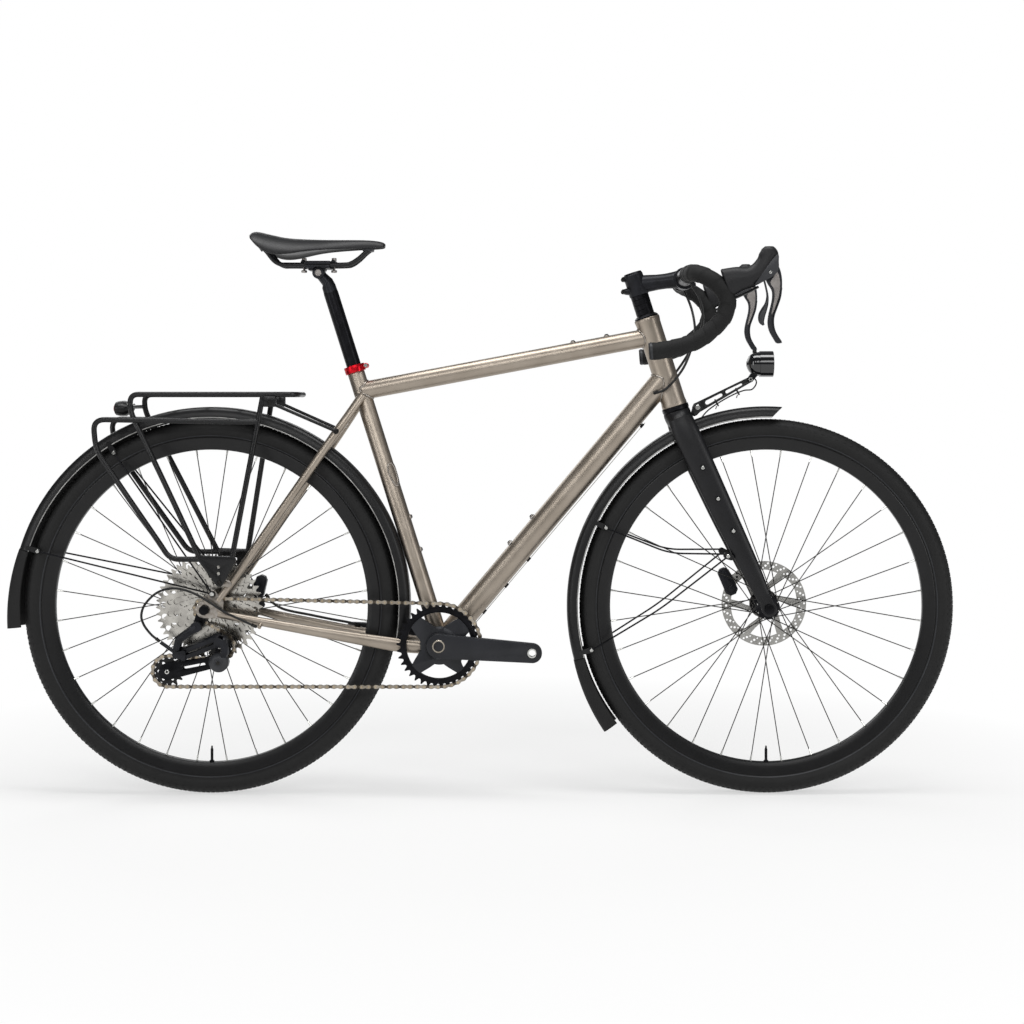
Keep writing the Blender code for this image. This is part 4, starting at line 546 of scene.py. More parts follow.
def makeSpokes(name, axle, body, flanges, hubRadius):
    spokes, nipples, heads = bmesh.new(), bmesh.new(), bmesh.new()
    for index in range(wheelFacts["spokes"]):
        start, end = spokeEnds(index, axle, flanges, hubRadius)
        way = (end - start).normalized()
        rod(spokes, start, end, wheelFacts["spokeRadius"], 8)
        rod(nipples, end - way * 11, end + way * 1.2, 1.45, 8, 1.9)
        depth = 1 if start.y > flanges[index % 2] else -1
        rod(heads, start - Vector((0, 0.9 * depth, 0)), start + Vector((0, 1.6 * depth, 0)), 2.0, 10, 1.2)
    finishPiece(spokes, name + "Spokes", "spokeSteel", body, ())
    finishPiece(nipples, name + "Nipples", "silverSteel", body, ())
    finishPiece(heads, name + "SpokeHeads", "silverSteel", body, ())


def makeHub(name, axle, body, node, profile, flanges, hubRadius):
    bm = bmesh.new()
    lathe(bm, [*profile, (6.5, profile[-1][1]), (6.5, profile[0][1])], axle, steps=64)
    finishPiece(bm, name, "blackAnodised", body, (node,), 30)
    makeSpokes(name, axle, body, flanges, hubRadius)


def discRotor(name, axle, y, body, node, finish):
    facts = {"outer": 80, "band": 64, "bore": 17.5, "carrier": 27, "arms": 6, "holes": 30}
    centre = (axle.x, axle.z)

    def spot(radius, degrees):
        p = polar(axle, radius, degrees)
        return p.x, p.z

    loops = [circlePoints(centre, facts["outer"], 120), circlePoints(centre, facts["bore"], 48)]
    pitch = 360 / facts["arms"]
    for i in range(facts["arms"]):
        start = i * pitch
        inner = [spot(facts["carrier"] - 1 + 2 * math.sin(math.pi * t / 6), start + 31 + 40 * t / 6) for t in range(7)]
        leading = [spot(facts["carrier"] + 36 * t / 5, start + 71 - 17 * t / 5 - 6 * math.sin(math.pi * t / 5))
                   for t in range(1, 5)]
        outer = [spot(facts["band"] - 1.5 * math.cos(math.pi * t / 8) ** 2, start + 53 - 47 * t / 8) for t in range(9)]
        trailing = [spot(facts["band"] - 36 * t / 5, start + 6 + 25 * t / 5 - 6 * math.sin(math.pi * t / 5))
                    for t in range(1, 5)]
        loops.append(inner + leading + outer + trailing)
    step = 360 / facts["holes"]
    for i in range(facts["holes"]):
        for radius, turn, size in ((76.2, 0, 2.0), (71.4, 3.4, 2.3), (67.2, 7.4, 1.6)):
            loops.append(circlePoints(spot(radius, i * step + turn), size, 9))
    bm = bmesh.new()
    discShape(bm, loops, y - 0.9, y + 0.9)
    finishPiece(bm, name, finish, body, (node,), 30)
    ring = bmesh.new()
    side = 1
    lathe(ring, [(27.5, y + side * 0.95), (27.5, y + side * 2.2), (24, y + side * 3.0), (17.8, y + side * 3.0),
                 (17.8, y - 2.6), (25.5, y - 2.6), (26.5, y - 0.95)], axle, steps=64)
    finishPiece(ring, name + "Carrier", "blackAnodised", body, (), 30)


def makeWheels():
    frontHub = ((9.5, -50), (10, -40), (13, -38.2), (21.4, -33.8), (22.5, -33), (22.5, -30), (21.4, -29.4), (12, -26.6),
                (10.2, -24), (10, 0), (10.2, 17), (12, 19.6), (21.4, 22.4), (22.5, 23), (22.5, 26),
                (21.4, 26.8), (17, 28),
                (17, 41), (12, 43), (9.5, 50))
    rearHub = ((9.5, -71), (9.5, -66), (11.7, -66), (11.7, -56), (16.6, -56), (16.6, -22), (24, -21.6), (25, -21),
               (25, -18), (24, -17.4), (13.6, -14.5), (12, -12), (12, 26), (14, 29.4), (22, 32.4), (23, 33), (23, 36),
               (22, 36.8), (17, 39), (17, 58), (12, 61), (9.5, 71))
    makeTyre("frontTread", frontAxle, "front_wheel")
    makeTyre("rearTread", rearAxle, "rear_wheel")
    makeSidewallLine("frontBeadLine", frontAxle, "front_wheel")
    makeSidewallLine("rearBeadLine", rearAxle, "rear_wheel")
    makeRim("frontHoop", frontAxle, "front_wheel", "front_rim")
    makeRim("rearHoop", rearAxle, "rear_wheel", "rear_rim")
    makeHub("frontBarrel", frontAxle, "front_wheel", "front_hub", frontHub, (-31.5, 24.5), 20)
    makeHub("rearBarrel", rearAxle, "rear_wheel", "rear_hub", rearHub, (-19.5, 34.5), 21)
    discRotor("frontDiscPlate", frontAxle, 38, "front_wheel", "front_rotor", "frontDisc")
    discRotor("rearDiscPlate", rearAxle, 55, "rear_wheel", "rear_rotor", "rearDisc")


makeWheels()
print("wheels made")


# Chain, sprockets and cranks

linkPitch = 12.7
cogTeeth = (10, 11, 12, 13, 14, 16, 18, 21, 25, 30, 36, 42, 48)
cassetteFacts = {"smallDepth": -62.5, "spacing": 3.15, "half": 0.75, "carrier": 19.6}
sprockets = (
    ("ring", Vector((0, 0, 0)), 38, 1, -47.5),
    ("lower", Vector((-497.4, 0, -45.6)), 14, 1, -62.5),
    ("upper", Vector((-400.0, 0, 0.0)), 12, -1, -62.5),
    ("cog", rearAxle, 10, 1, -62.75),
)


def pitchRadius(teeth):
    return linkPitch / 2 / math.sin(math.pi / teeth)


def tangent(first, second):
    (_, a, teethA, turnA, depthA), (_, b, teethB, turnB, depthB) = first, second
    gap = b - a
    near, far = turnA * pitchRadius(teethA), turnB * pitchRadius(teethB)
    heading = math.atan2(gap.z, gap.x) - math.asin((near - far) / gap.length)
    away = Vector((-math.sin(heading), 0, math.cos(heading)))
    start, end = a + away * near, b + away * far
    start.y, end.y = depthA, depthB
    return start, end, heading


def chainPins():
    # every pin round the loop, and the angle of one pin on each sprocket
    spans = [tangent(sprockets[i], sprockets[(i + 1) % 4]) for i in range(4)]
    stretches = []
    for i, (name, centre, teeth, turn, depth) in enumerate(sprockets):
        arrive, leave = spans[i - 1][2], spans[i][2]
        sweepAngle = (turn * (arrive - leave)) % math.tau
        facts = (name, centre, teeth, turn, depth, arrive + turn * math.pi / 2)
        stretches.append(("arc", sweepAngle / math.tau * teeth, facts))
        start, end, _ = spans[i]
        flatRun = math.dist((start.x, start.z), (end.x, end.z))
        stretches.append(("run", flatRun / linkPitch, (start, end)))
    arcs = sum(s[1] for s in stretches if s[0] == "arc")
    runs = sum(s[1] for s in stretches if s[0] == "run")
    links = 2 * round((arcs + runs) / 2)
    stretch = (links - arcs) / runs
    pins, phases, travelled = [], {}, 0.0
    for kind, length, facts in stretches:
        if kind == "run":
            length *= stretch
        index = math.ceil(travelled - 1e-9)
        while index < travelled + length - 1e-9:
            share = index - travelled
            if kind == "arc":
                name, centre, teeth, turn, depth, start = facts
                angle = start - turn * share * math.tau / teeth
                phases.setdefault(name, angle)
                radius = pitchRadius(teeth)
                pins.append(Vector((centre.x + radius * math.cos(angle), depth, centre.z + radius * math.sin(angle))))
            else:
                start, end = facts
                pin = start + (end - start) * (share / length)
                aside = (share - 2) / max(length - 4, 1)
                pin.y = start.y + (end.y - start.y) * min(max(aside, 0), 1)
                pins.append(pin)
            index += 1
        travelled += length
    return pins[:links], phases


pins, toothPhases = chainPins()


def plateOutline(radius, waist):
    # a link plate's figure of eight, from pin to pin
    outline = []
    for end, facing in ((linkPitch, 0), (0, 180)):
        for turn in range(-110, 111, 44):
            angle = math.radians(facing + turn)
            outline.append((end + radius * math.cos(angle), radius * math.sin(angle)))
        outline.append((linkPitch / 2, waist if facing == 0 else -waist))
    return outline


def linkMesh(name, depths, radius, waist, rollerRadius, rollerHalf):
    bm = bmesh.new()
    for side in (1, -1):
        low, high = sorted((side * depths[0], side * depths[1]))
        discShape(bm, [plateOutline(radius, waist)], low, high)
    for x in (0, linkPitch):
        sweep(bm, [(x, -rollerHalf, 0), (x, rollerHalf, 0)], (rollerRadius, rollerRadius), 10)
    bmesh.ops.recalc_face_normals(bm, faces=bm.faces)
    mesh = bpy.data.meshes.new(name)
    bm.to_mesh(mesh)
    bm.free()
    return mesh


def makeChain():
    inner = linkMesh("innerLink", (1.15, 1.85), 3.9, 2.1, 3.6, 1.15)
    outer = linkMesh("outerLink", (1.95, 2.65), 3.95, 2.1, 1.7, 2.85)
    shapes = {0: (bmesh.new(), inner), 1: (bmesh.new(), outer)}
    for i, pin in enumerate(pins):
        ahead = (pins[(i + 1) % len(pins)] - pin).normalized()
        up = Vector((-ahead.z, 0, ahead.x)).normalized()
        place = Matrix((ahead, up.cross(ahead), up)).transposed().to_4x4()
        place.translation = pin * mm
        bm, mesh = shapes[i % 2]
        stamp(bm, mesh, place)
    finishPiece(shapes[0][0], "chainInnerLinks", "chainInner", "frame", (), 30)
    return finishPiece(shapes[1][0], "chainOuterLinks", "chainOuter", "frame", ("chain",), 30)


toothShape = ((0.0, -5.7), (0.14, -5.2), (0.27, -2.6), (0.37, 0.6), (0.45, 2.2), (0.55, 2.2), (0.63, 0.6), (0.73, -2.6),
              (0.86, -5.2))


def toothed(centre, teeth, phase):
    step = math.tau / teeth
    outline = []
    for i in range(teeth):
        for share, height in toothShape:
            angle = phase + (i + share) * step
            radius = pitchRadius(teeth) + height
            outline.append((centre.x + radius * math.cos(angle), centre.z + radius * math.sin(angle)))
    return outline


def ovalHole(centre, radius, degrees, long, wide, count=12, twist=0.0):
    # an oval window whose long side lies along the radius, turned by twist
    middle = polar(centre, radius, degrees)
    tilt = math.radians(degrees + twist)
    c, s = math.cos(tilt), math.sin(tilt)
    spots = []
    for i in range(count):
        a = math.tau * i / count
        u, v = long * math.cos(a), wide * math.sin(a)
        spots.append((middle.x + u * c - v * s, middle.z + u * s + v * c))
    return spots


def makeCassette():
    facts = cassetteFacts
    phase = toothPhases["cog"]
    cogs = bmesh.new()
    for i, teeth in enumerate(cogTeeth):
        y = facts["smallDepth"] + i * facts["spacing"]
        bore = 12.6 if i < 2 else 17.8
        loops = [toothed(rearAxle, teeth, phase), circlePoints((rearAxle.x, rearAxle.z), bore, 36)]
        if teeth >= 16:
            # slanted windows in the band that shows beyond the next smaller cog, and larger ones inside it
            outer, inner = pitchRadius(teeth) - 6.6, max(pitchRadius(cogTeeth[i - 1]) - 5.5, facts["carrier"] + 2.2)
            count = teeth // 2
            middle, long = (outer + inner) / 2, (outer - inner) / 2
            wide = min(math.pi * middle / count - 1.3, long)
            loops += [ovalHole(rearAxle, middle, 360 * k / count + 11 * i, long, wide, 12, 30) for k in range(count)]
            if teeth >= 30:
                inside = facts["carrier"] + 2.5
                middle, long = (inner - 3 + inside) / 2, (inner - 3 - inside) / 2
                count = 8
                loops += [ovalHole(rearAxle, middle, 360 * k / count + 9 * i, long, long * 0.34, 16, 18)
                          for k in range(count)]
        discShape(cogs, loops, y - facts["half"], y + facts["half"])
    finishPiece(cogs, "cogStack", "nickelPlate", "cassette", ("cassette",), 30)
    core = bmesh.new()
    last = facts["smallDepth"] + 12 * facts["spacing"]
    carrier = facts["carrier"]
    lathe(core, [(carrier, -55.9), (carrier, last - 1), (17.9, last - 1), (17.9, -55.9)], rearAxle, steps=48)
    lathe(core, [(14.3, -62), (14.3, -57), (12.7, -57), (12.7, -62)], rearAxle, steps=48)
    finishPiece(core, "cogCarrier", "blackAnodised", "cassette", (), 30)
    ring = bmesh.new()
    lathe(ring, [(16.6, -63.6), (16.6, -64.7), (15.2, -65.2), (12.7, -65.2), (12.7, -63.6)], rearAxle, steps=48)
    finishPiece(ring, "lockRing", "nickelPlate", "cassette", (), 30)


def lensWindow(inner, outer, start, end, steps=14):
    edge = [polar(Vector((0, 0, 0)), outer, start + (end - start) * i / steps) for i in range(steps + 1)]
    back = [polar(Vector((0, 0, 0)), outer - (outer - inner) * math.sin(math.pi * i / steps) ** 0.8,
                  end + (start - end) * i / steps) for i in range(1, steps)]
    return [(p.x, p.z) for p in edge + back]


def chainringWindows(grow):
    windows = [lensWindow(31 - grow, 60.5 + grow, centre - 34, centre + 34) for centre in (89, 181, 270)]
    return windows + [lensWindow(49 - grow, 60.5 + grow, 6, 24, 8), lensWindow(49 - grow, 60.5 + grow, -42, -24, 8)]


def makeChainring():
    middle = Vector((0, 0, 0))
    loops = [toothed(middle, 38, toothPhases["ring"]), circlePoints((0, 0), 16, 48)]
    loops += chainringWindows(0)
    bm = bmesh.new()
    discShape(bm, loops, -48.4, -46.6)
    finishPiece(bm, "chainringPlate", "blackAnodised", "crankset", ("chainring",), 30)
    rimRing = bmesh.new()
    lathe(rimRing, [(61.4, -48.5), (68.6, -48.5), (69.2, -49.0), (68.4, -49.5), (62, -49.5), (61.2, -49.0)], middle,
          steps=120)
    finishPiece(rimRing, "chainringRib", "blackAnodised", "crankset", (), 30)


def crankShape(side):
    reach, lean = 172.5 * -side, math.radians(-3.5)
    end = (reach * math.cos(lean), reach * math.sin(lean))
    low, high = sorted((side * 54, side * 66))
    bm = bmesh.new()
    arm = belt([(0, 0, 22.5), (end[0] * 0.4, end[1] * 0.4, 17.4), (*end, 18)], 48)
    discShape(bm, [arm, circlePoints(end, 7.2, 32)], low, high)
    softened(bm, 2.6, 3, 60)
    if side < 0:
        lathe(bm, [(9.2, -66.2), (13, -66.2), (21.5, -65.2), (24, -62), (24, -49.2), (9.2, -49.2)], (0, 0, 0), steps=64)
        lathe(bm, [(20, -52.4), (34, -52.4), (35.5, -51.2), (35.5, -49.2), (20, -49.2)], (0, 0, 0), steps=64)
    else:
        lathe(bm, [(12.9, 44), (20.5, 44), (22, 45.5), (22, 66), (20.5, 67.8), (12.9, 67.8)], (0, 0, 0), steps=64)
    tilt = Matrix.Identity(4)
    tilt[1][0] = -0.09
    bmesh.ops.transform(bm, matrix=tilt, verts=bm.verts)
    return bm


def makeSpider():
    bm = bmesh.new()
    discShape(bm, [circlePoints((0, 0), 61.4, 96), circlePoints((0, 0), 16, 48), *chainringWindows(0.6)[:3],
                   *chainringWindows(-0.5)[3:]], -53.2, -49.8)
    softened(bm, 1.2, 2, 50)
    finishPiece(bm, "crankSpider", "crankCarbon", "crankset", (), 40)


def makeCranks():
    makeSpider()
    finishPiece(crankShape(-1), "crankArmRight", "crankCarbon", "crankset", ("crank_right",), 40)
    finishPiece(crankShape(1), "crankArmLeft", "crankCarbon", "crankset", ("crank_left",), 40)
    spindle = bmesh.new()
    lathe(spindle, [(9.2, -67.6), (11.4, -67.6), (11.9, -67), (11.9, 67), (11.4, 68), (9.2, 68)], (0, 0, 0), steps=48)
    finishPiece(spindle, "spindle", "chainOuter", "crankset", (), 30)
    threads = bmesh.new()
    for side in (-1, 1):
        reach, lean = 172.5 * -side, math.radians(-3.5)
        x, z = reach * math.cos(lean), reach * math.sin(lean)
        y = side * 60 - 0.09 * x
        lathe(threads, [(6.2, -6.6), (8.6, -6.6), (8.6, 6.6), (6.2, 6.6)], (x, y, z), steps=32)
    finishPiece(threads, "pedalInserts", "silverSteel", "crankset", (), 30)


def makePulleys():
    for node, name in (("upper_pulley", "upper"), ("lower_pulley", "lower")):
        _, centre, teeth, _, depth = next(s for s in sprockets if s[0] == name)
        loops = [toothed(centre, teeth, toothPhases[name]), circlePoints((centre.x, centre.z), 3.1, 20)]
        loops += [ovalHole(centre, pitchRadius(teeth) * 0.56, 60 * k, 3.6, 2.8, 10) for k in range(6)]
        bm = bmesh.new()
        discShape(bm, loops, depth - 0.9, depth + 0.9)
        lathe(bm, [(3.2, depth - 5), (6.4, depth - 5), (7, depth - 4.4), (7, depth + 4.4), (6.4, depth + 5),
                   (3.2, depth + 5)],
              (centre.x, 0, centre.z), steps=32)
        finishPiece(bm, name + "JockeyWheel", "mouldedBlack", node, (node,), 30)


makeChain()
makeCassette()
makeChainring()
makeCranks()
makePulleys()
print("drive train made")


# Titanium frame

topEnds = (point(-148.0, 469.7), point(396.0, 571.4))
downEnds = (point(3.8, 0.0), point(420.2, 495.9))
topWay = (topEnds[1] - topEnds[0]).normalized()
downWay = downEnds[1].normalized()
cylinders = {
    "seat": (Vector((0, 0, 0)), seatWay, 15.9),
    "head": (headLow, headWay, 23.0),
    "shell": (Vector((0, 0, 0)), Vector((0, 1, 0)), 21.0),
}


def slideTo(start, way, target):
    # where a line along way first meets a round tube; one that passes beside it stops at its nearest
    centre, along, radius = cylinders[target]
    across = way - along * way.dot(along)
    off = start - centre
    off = off - along * off.dot(along)
    a, b, c = across.dot(across), off.dot(across), off.dot(off) - radius * radius
    return start + way * ((-b - math.sqrt(max(b * b - a * c, 0))) / a)


def meeting(start, way, radius, target, count):
    side = way.cross(Vector((0, 1, 0)))
    side = (side if side.length > 0.1 else Vector((1, 0, 0))).normalized()
    other = way.cross(side)
    spots = [start + (side * math.cos(math.tau * i / count) + other * math.sin(math.tau * i / count)) * radius
             for i in range(count)]
    return [slideTo(spot, way, target) for spot in spots]


def mitredTube(bm, start, end, radius, startMeets=None, endMeets=None, sides=64):
    # a round tube whose ends follow the tubes that it is welded to
    way = (end - start).normalized()
    first = len(bm.verts)
    rod(bm, start, end, radius, sides)
    bm.verts.ensure_lookup_table()
    middle = (start + end) / 2
    for vert in bm.verts[first:]:
        spot = vert.co / mm
        target = startMeets if (spot - middle).dot(way) < 0 else endMeets
        if target:
            heading = way if target == endMeets and (spot - middle).dot(way) > 0 else -way
            inside = middle + (spot - middle) - way * (spot - middle).dot(way)
            vert.co = slideTo(inside, heading, target) * mm
    long = [edge for edge in bm.edges if edge.calc_length() > 0.1]
    bmesh.ops.subdivide_edges(bm, edges=long, cuts=11, use_grid_fill=True)


def weld(bm, start, way, radius, target, size=2.0):
    # a stack-of-dimes bead round a joint
    ring = meeting(start, way, radius, target, 96)
    sizes = [(size * (1.12 if i % 2 else 0.88),) * 2 for i in range(len(ring))]
    sweep(bm, ring, sizes, 8, closed=True)


def makeBolt(bm, foot, way, radius, height, socket=0.55):
    # a round button head with its hexagon socket
    way = Vector(way).normalized()
    key = radius * socket
    lathe(bm, [(key, height), (radius * 0.8, height), (radius * 0.97, height * 0.72), (radius, height * 0.35),
               (radius, 0),
               (0.01, 0), (0.01, height * 0.35), (key, height * 0.35)], foot, way, 18)


def tubeBosses(bosses, bolts, tubeStart, way, out, reach, places):
    for along in places:
        foot = tubeStart + way * along + out * (reach - 1.2)
        lathe(bosses, [(0.01, 0), (5.4, 0), (5.2, 1.9), (4.3, 2.3), (4.2, 3.2), (0.01, 3.2)], foot, out, 24)
        makeBolt(bolts, foot + out * 3.0, out, 3.2, 1.9)


def makeFrame():
    bosses, bolts, beads = bmesh.new(), bmesh.new(), bmesh.new()
    topUp = Vector((-topWay.z, 0, topWay.x))
    downUp = Vector((-downWay.z, 0, downWay.x))
    seatFront = Vector((seatWay.z, 0, -seatWay.x))
    tubeBosses(bosses, bolts, topEnds[0], topWay, topUp, 17, (405, 469))
    tubeBosses(bosses, bolts, Vector((0, 0, 0)), downWay, downUp, 22, (225, 289))
    tubeBosses(bosses, bolts, Vector((0, 0, 0)), downWay, -downUp, 22, (96, 160, 224))
    tubeBosses(bosses, bolts, Vector((0, 0, 0)), seatWay, seatFront, 15.9, (177, 241))
    finishPiece(bosses, "tubeBosses", "weldBead", "frame", ())
    finishPiece(bolts, "bottleBolts", "blackAnodised", "frame", ())

    bm = bmesh.new()
    mitredTube(bm, topEnds[0], topEnds[1], 17, "seat", "head")
    finishPiece(bm, "topTube", "topTitanium", "frame", ("top_tube",), 20)
    bm = bmesh.new()
    mitredTube(bm, downEnds[0], downEnds[1], 22, "shell", "head")
    finishPiece(bm, "downTube", "downTitanium", "frame", ("down_tube",), 20)
    bm = bmesh.new()
    lathe(bm, [(15.9, 19), (15.9, 534.8), (15.4, 535.6), (13.9, 535.6), (13.9, 190), (12, 188), (12, 19)], (0, 0, 0),
          seatWay, 64)
    finishPiece(bm, "seatTube", "seatTitanium", "frame", ("seat_tube",))
    bm = bmesh.new()
    lathe(bm, [(18.5, 0), (23.7, 0), (24, 0.5), (23.9, 5), (23, 11), (23, 161), (23.9, 167.6), (24, 172.1),
               (23.7, 172.6),
               (18.5, 172.6)], headLow, headWay, 96)
    finishPiece(bm, "headTube", "headTitanium", "frame", ("head_tube",))
    bm = bmesh.new()
    lathe(bm, [(17, -36.5), (20.6, -36.5), (21, -36), (21, 36), (20.6, 36.5), (17, 36.5)], (0, 0, 0), steps=96)
    finishPiece(bm, "bracketShell", "weldBead", "frame", ("bottom_bracket",))
    cups = bmesh.new()
    for side in (-1, 1):
        half = [(12.9, 36.7), (20.9, 36.7), (20.9, 38.2), (19.8, 38.6), (19.8, 41), (19.2, 41.4), (14, 41.5),
                (12.9, 41)]
        lathe(cups, [(r, side * y) for r, y in half], (0, 0, 0), steps=64)
    finishPiece(cups, "bracketCups", "blackAnodised", "frame", ())

    weld(beads, topEnds[1] - topWay * 60, topWay, 17, "head")
    weld(beads, downEnds[1] - downWay * 60, downWay, 22, "head")
    weld(beads, topEnds[0] + topWay * 60, -topWay, 17, "seat")
    weld(beads, downEnds[0] + downWay * 60, -downWay, 22, "shell")
    weld(beads, seatWay * 60, -seatWay, 15.9, "shell")
    stay = Vector((-50, -33, -4.5)) - Vector((2, -29, -8))
    for side in (1, -1):
        start = Vector((-50, -33 * side, -4.5))
        weld(beads, start, Vector((-stay.x, -stay.y * side, -stay.z)).normalized(), 9.4, "shell", 1.7)
        high = Vector((-19, -9 * side, 29)).normalized()
        weld(beads, Vector((-165, -25 * side, 432)), high, 8, "seat", 1.7)
    finishPiece(beads, "weldBeads", "weldBead", "frame", (), 60)


chainstay = ((2, -29, -8), (-50, -33, -4.5), (-95, -35.4, 1.5), (-165, -40.5, 14), (-300, -58, 40), (-404, -74.5, 61))
chainstaySizes = ((9, 11), (8, 12), (7, 12.5), (8.5, 11), (8, 8.5), (5.2, 7))
seatstay = ((-146, -16, 461), (-165, -25, 432), (-195, -35, 388), (-280, -49, 264), (-366, -62, 138.5), (-404, -74, 84))
seatstaySizes = ((8, 8), (8, 8), (8, 8), (8, 8), (7.5, 7.5), (5.2, 6))
eyelet = point(-413.0, 98.0)
rackBoss = point(-398.0, 119.0)


def makeDropout(side):
    bm = bmesh.new()
    low, high = sorted((side * 71.3, side * 77.0))
    outline = belt([(rearAxle.x, rearAxle.z, 15), (-400, 82, 7), (-402, 60, 7), (eyelet.x, eyelet.z, 7)], 40)
    holes = [circlePoints((rearAxle.x, rearAxle.z), 6.5, 40), circlePoints((eyelet.x, eyelet.z), 2.6, 20)]
    discShape(bm, [outline, *holes], low, high)
    softened(bm, 0.7)
    if side < 0:
        hanger = bmesh.new()
        shape = belt([(rearAxle.x, rearAxle.z, 12), (-440.6, 38.4, 9)], 40)
        discShape(hanger, [shape, circlePoints((rearAxle.x, rearAxle.z), 6.6, 40)], -76.3, -71.6)
        softened(hanger, 0.7)
        finishPiece(hanger, "derailleurHanger", "blackAnodised", "frame", ())
    plate = bmesh.new()
    low, high = sorted((side * 66, side * 79.5))
    discShape(plate, [belt([(rackBoss.x, rackBoss.z, 6), (-384, 116, 6)], 32)], low, high)
    softened(plate, 1.0)
    word = "Right" if side < 0 else "Left"
    finishPiece(plate, "rackBoss" + word, "weldBead", "frame", ())
    finishPiece(bm, "dropout" + word, "weldBead", "frame", ())


def makeStays():
    chain, seat = bmesh.new(), bmesh.new()
    for turn in (lambda p: [Vector(q) for q in p], mirrorPoints):
        sweep(chain, curved(turn(chainstay), 8), blended(chainstaySizes, 8), 40)
        sweep(seat, curved(turn(seatstay), 8), blended(seatstaySizes, 8), 32)
    rod(chain, (-49, -32, -4), (-49, 32, -4), 5, 24)
    rod(seat, (-181, -29, 410), (-181, 29, 410), 6, 24)
    rod(chain, (-325, -62, 45), (-328, -74.5, 36), 3.6, 20)
    finishPiece(chain, "chainstays", "stayTitanium", "frame", ("rear_triangle",))
    finishPiece(seat, "seatstays", "seatstayTitanium", "frame", ())
    for side in (-1, 1):
        makeDropout(side)
    bolts = bmesh.new()
    makeBolt(bolts, Vector((-181, 0, 404)), (0.1, 0, -1), 4, 3)
    finishPiece(bolts, "bridgeBolt", "silverSteel", "frame", ())


makeFrame()
makeStays()
print("frame made")


# Fork, bar and levers

forkLeg = ((446, 34, 418), (456, 40, 393), (480, 44, 342), (530, 50, 234), (575, 54, 140), (601, 55.5, 84))
forkSizes = ((14, 23), (12, 24.5), (11.5, 24), (9.5, 21.5), (7, 17.5), (4.7, 13))
forkBosses = ((486, 328), (514, 271), (542, 212))
barClamp = point(455.0, 679.5)
barPath = ((455, 0, 679.5), (455, -70, 679.5), (455, -110, 679.5), (456, -150, 679), (461, -184, 677.5),
           (473, -204, 673), (490, -210, 664), (508, -210, 648), (518, -210, 626), (511, -210, 599),
           (492, -210, 577.5), (468, -210, 559), (438, -210, 547.4), (404, -210, 540), (380, -210, 538))


def alongHead(distance):
    return headTop + headWay * distance


def makeFork():
    bm = bmesh.new()
    crownTop = headLow - headWay * 9.8
    drop = [(0, 24.5, 24.5), (2, 25.0, 25.2), (6, 27.5, 25.6), (12, 33, 25.2), (18, 40.5, 24.2), (23, 44.8, 23),
            (26, 45, 20)]
    sweep(bm, [crownTop - headWay * d for d, _, _ in drop], [(a, u) for _, a, u in drop], 48)
    for turn in (lambda p: [Vector(q) for q in p], mirrorPoints):
        sweep(bm, curved(turn(forkLeg), 10), blended(forkSizes, 10), 40)
    finishPiece(bm, "forkBlades", "satinCarbon", "steering", ("fork",), 50)
    ends, bosses, bolts = bmesh.new(), bmesh.new(), bmesh.new()
    for side in (-1, 1):
        low, high = sorted((side * 50.4, side * 60))
        outline = belt([(frontAxle.x, frontAxle.z, 14), (601, 86, 11)], 48)
        discShape(ends, [outline, circlePoints((frontAxle.x, frontAxle.z), 6.5, 32)], low, high)
        for i, (x, z) in enumerate(forkBosses):
            outer = 58.5 + 2.6 * i
            rod(bosses, (x, side * 45, z), (x, side * (outer - 0.4), z), 5.2, 24, 4.8)
            makeBolt(bolts, Vector((x, side * (outer - 0.6), z)), (0, side, 0), 3.4, 1.6)
    softened(ends, 1.6, 3)
    finishPiece(ends, "forkEnds", "satinCarbon", "steering", ())
    finishPiece(bosses, "forkBossRings", "blackAnodised", "steering", ())
    finishPiece(bolts, "forkBossBolts", "silverSteel", "steering", ())


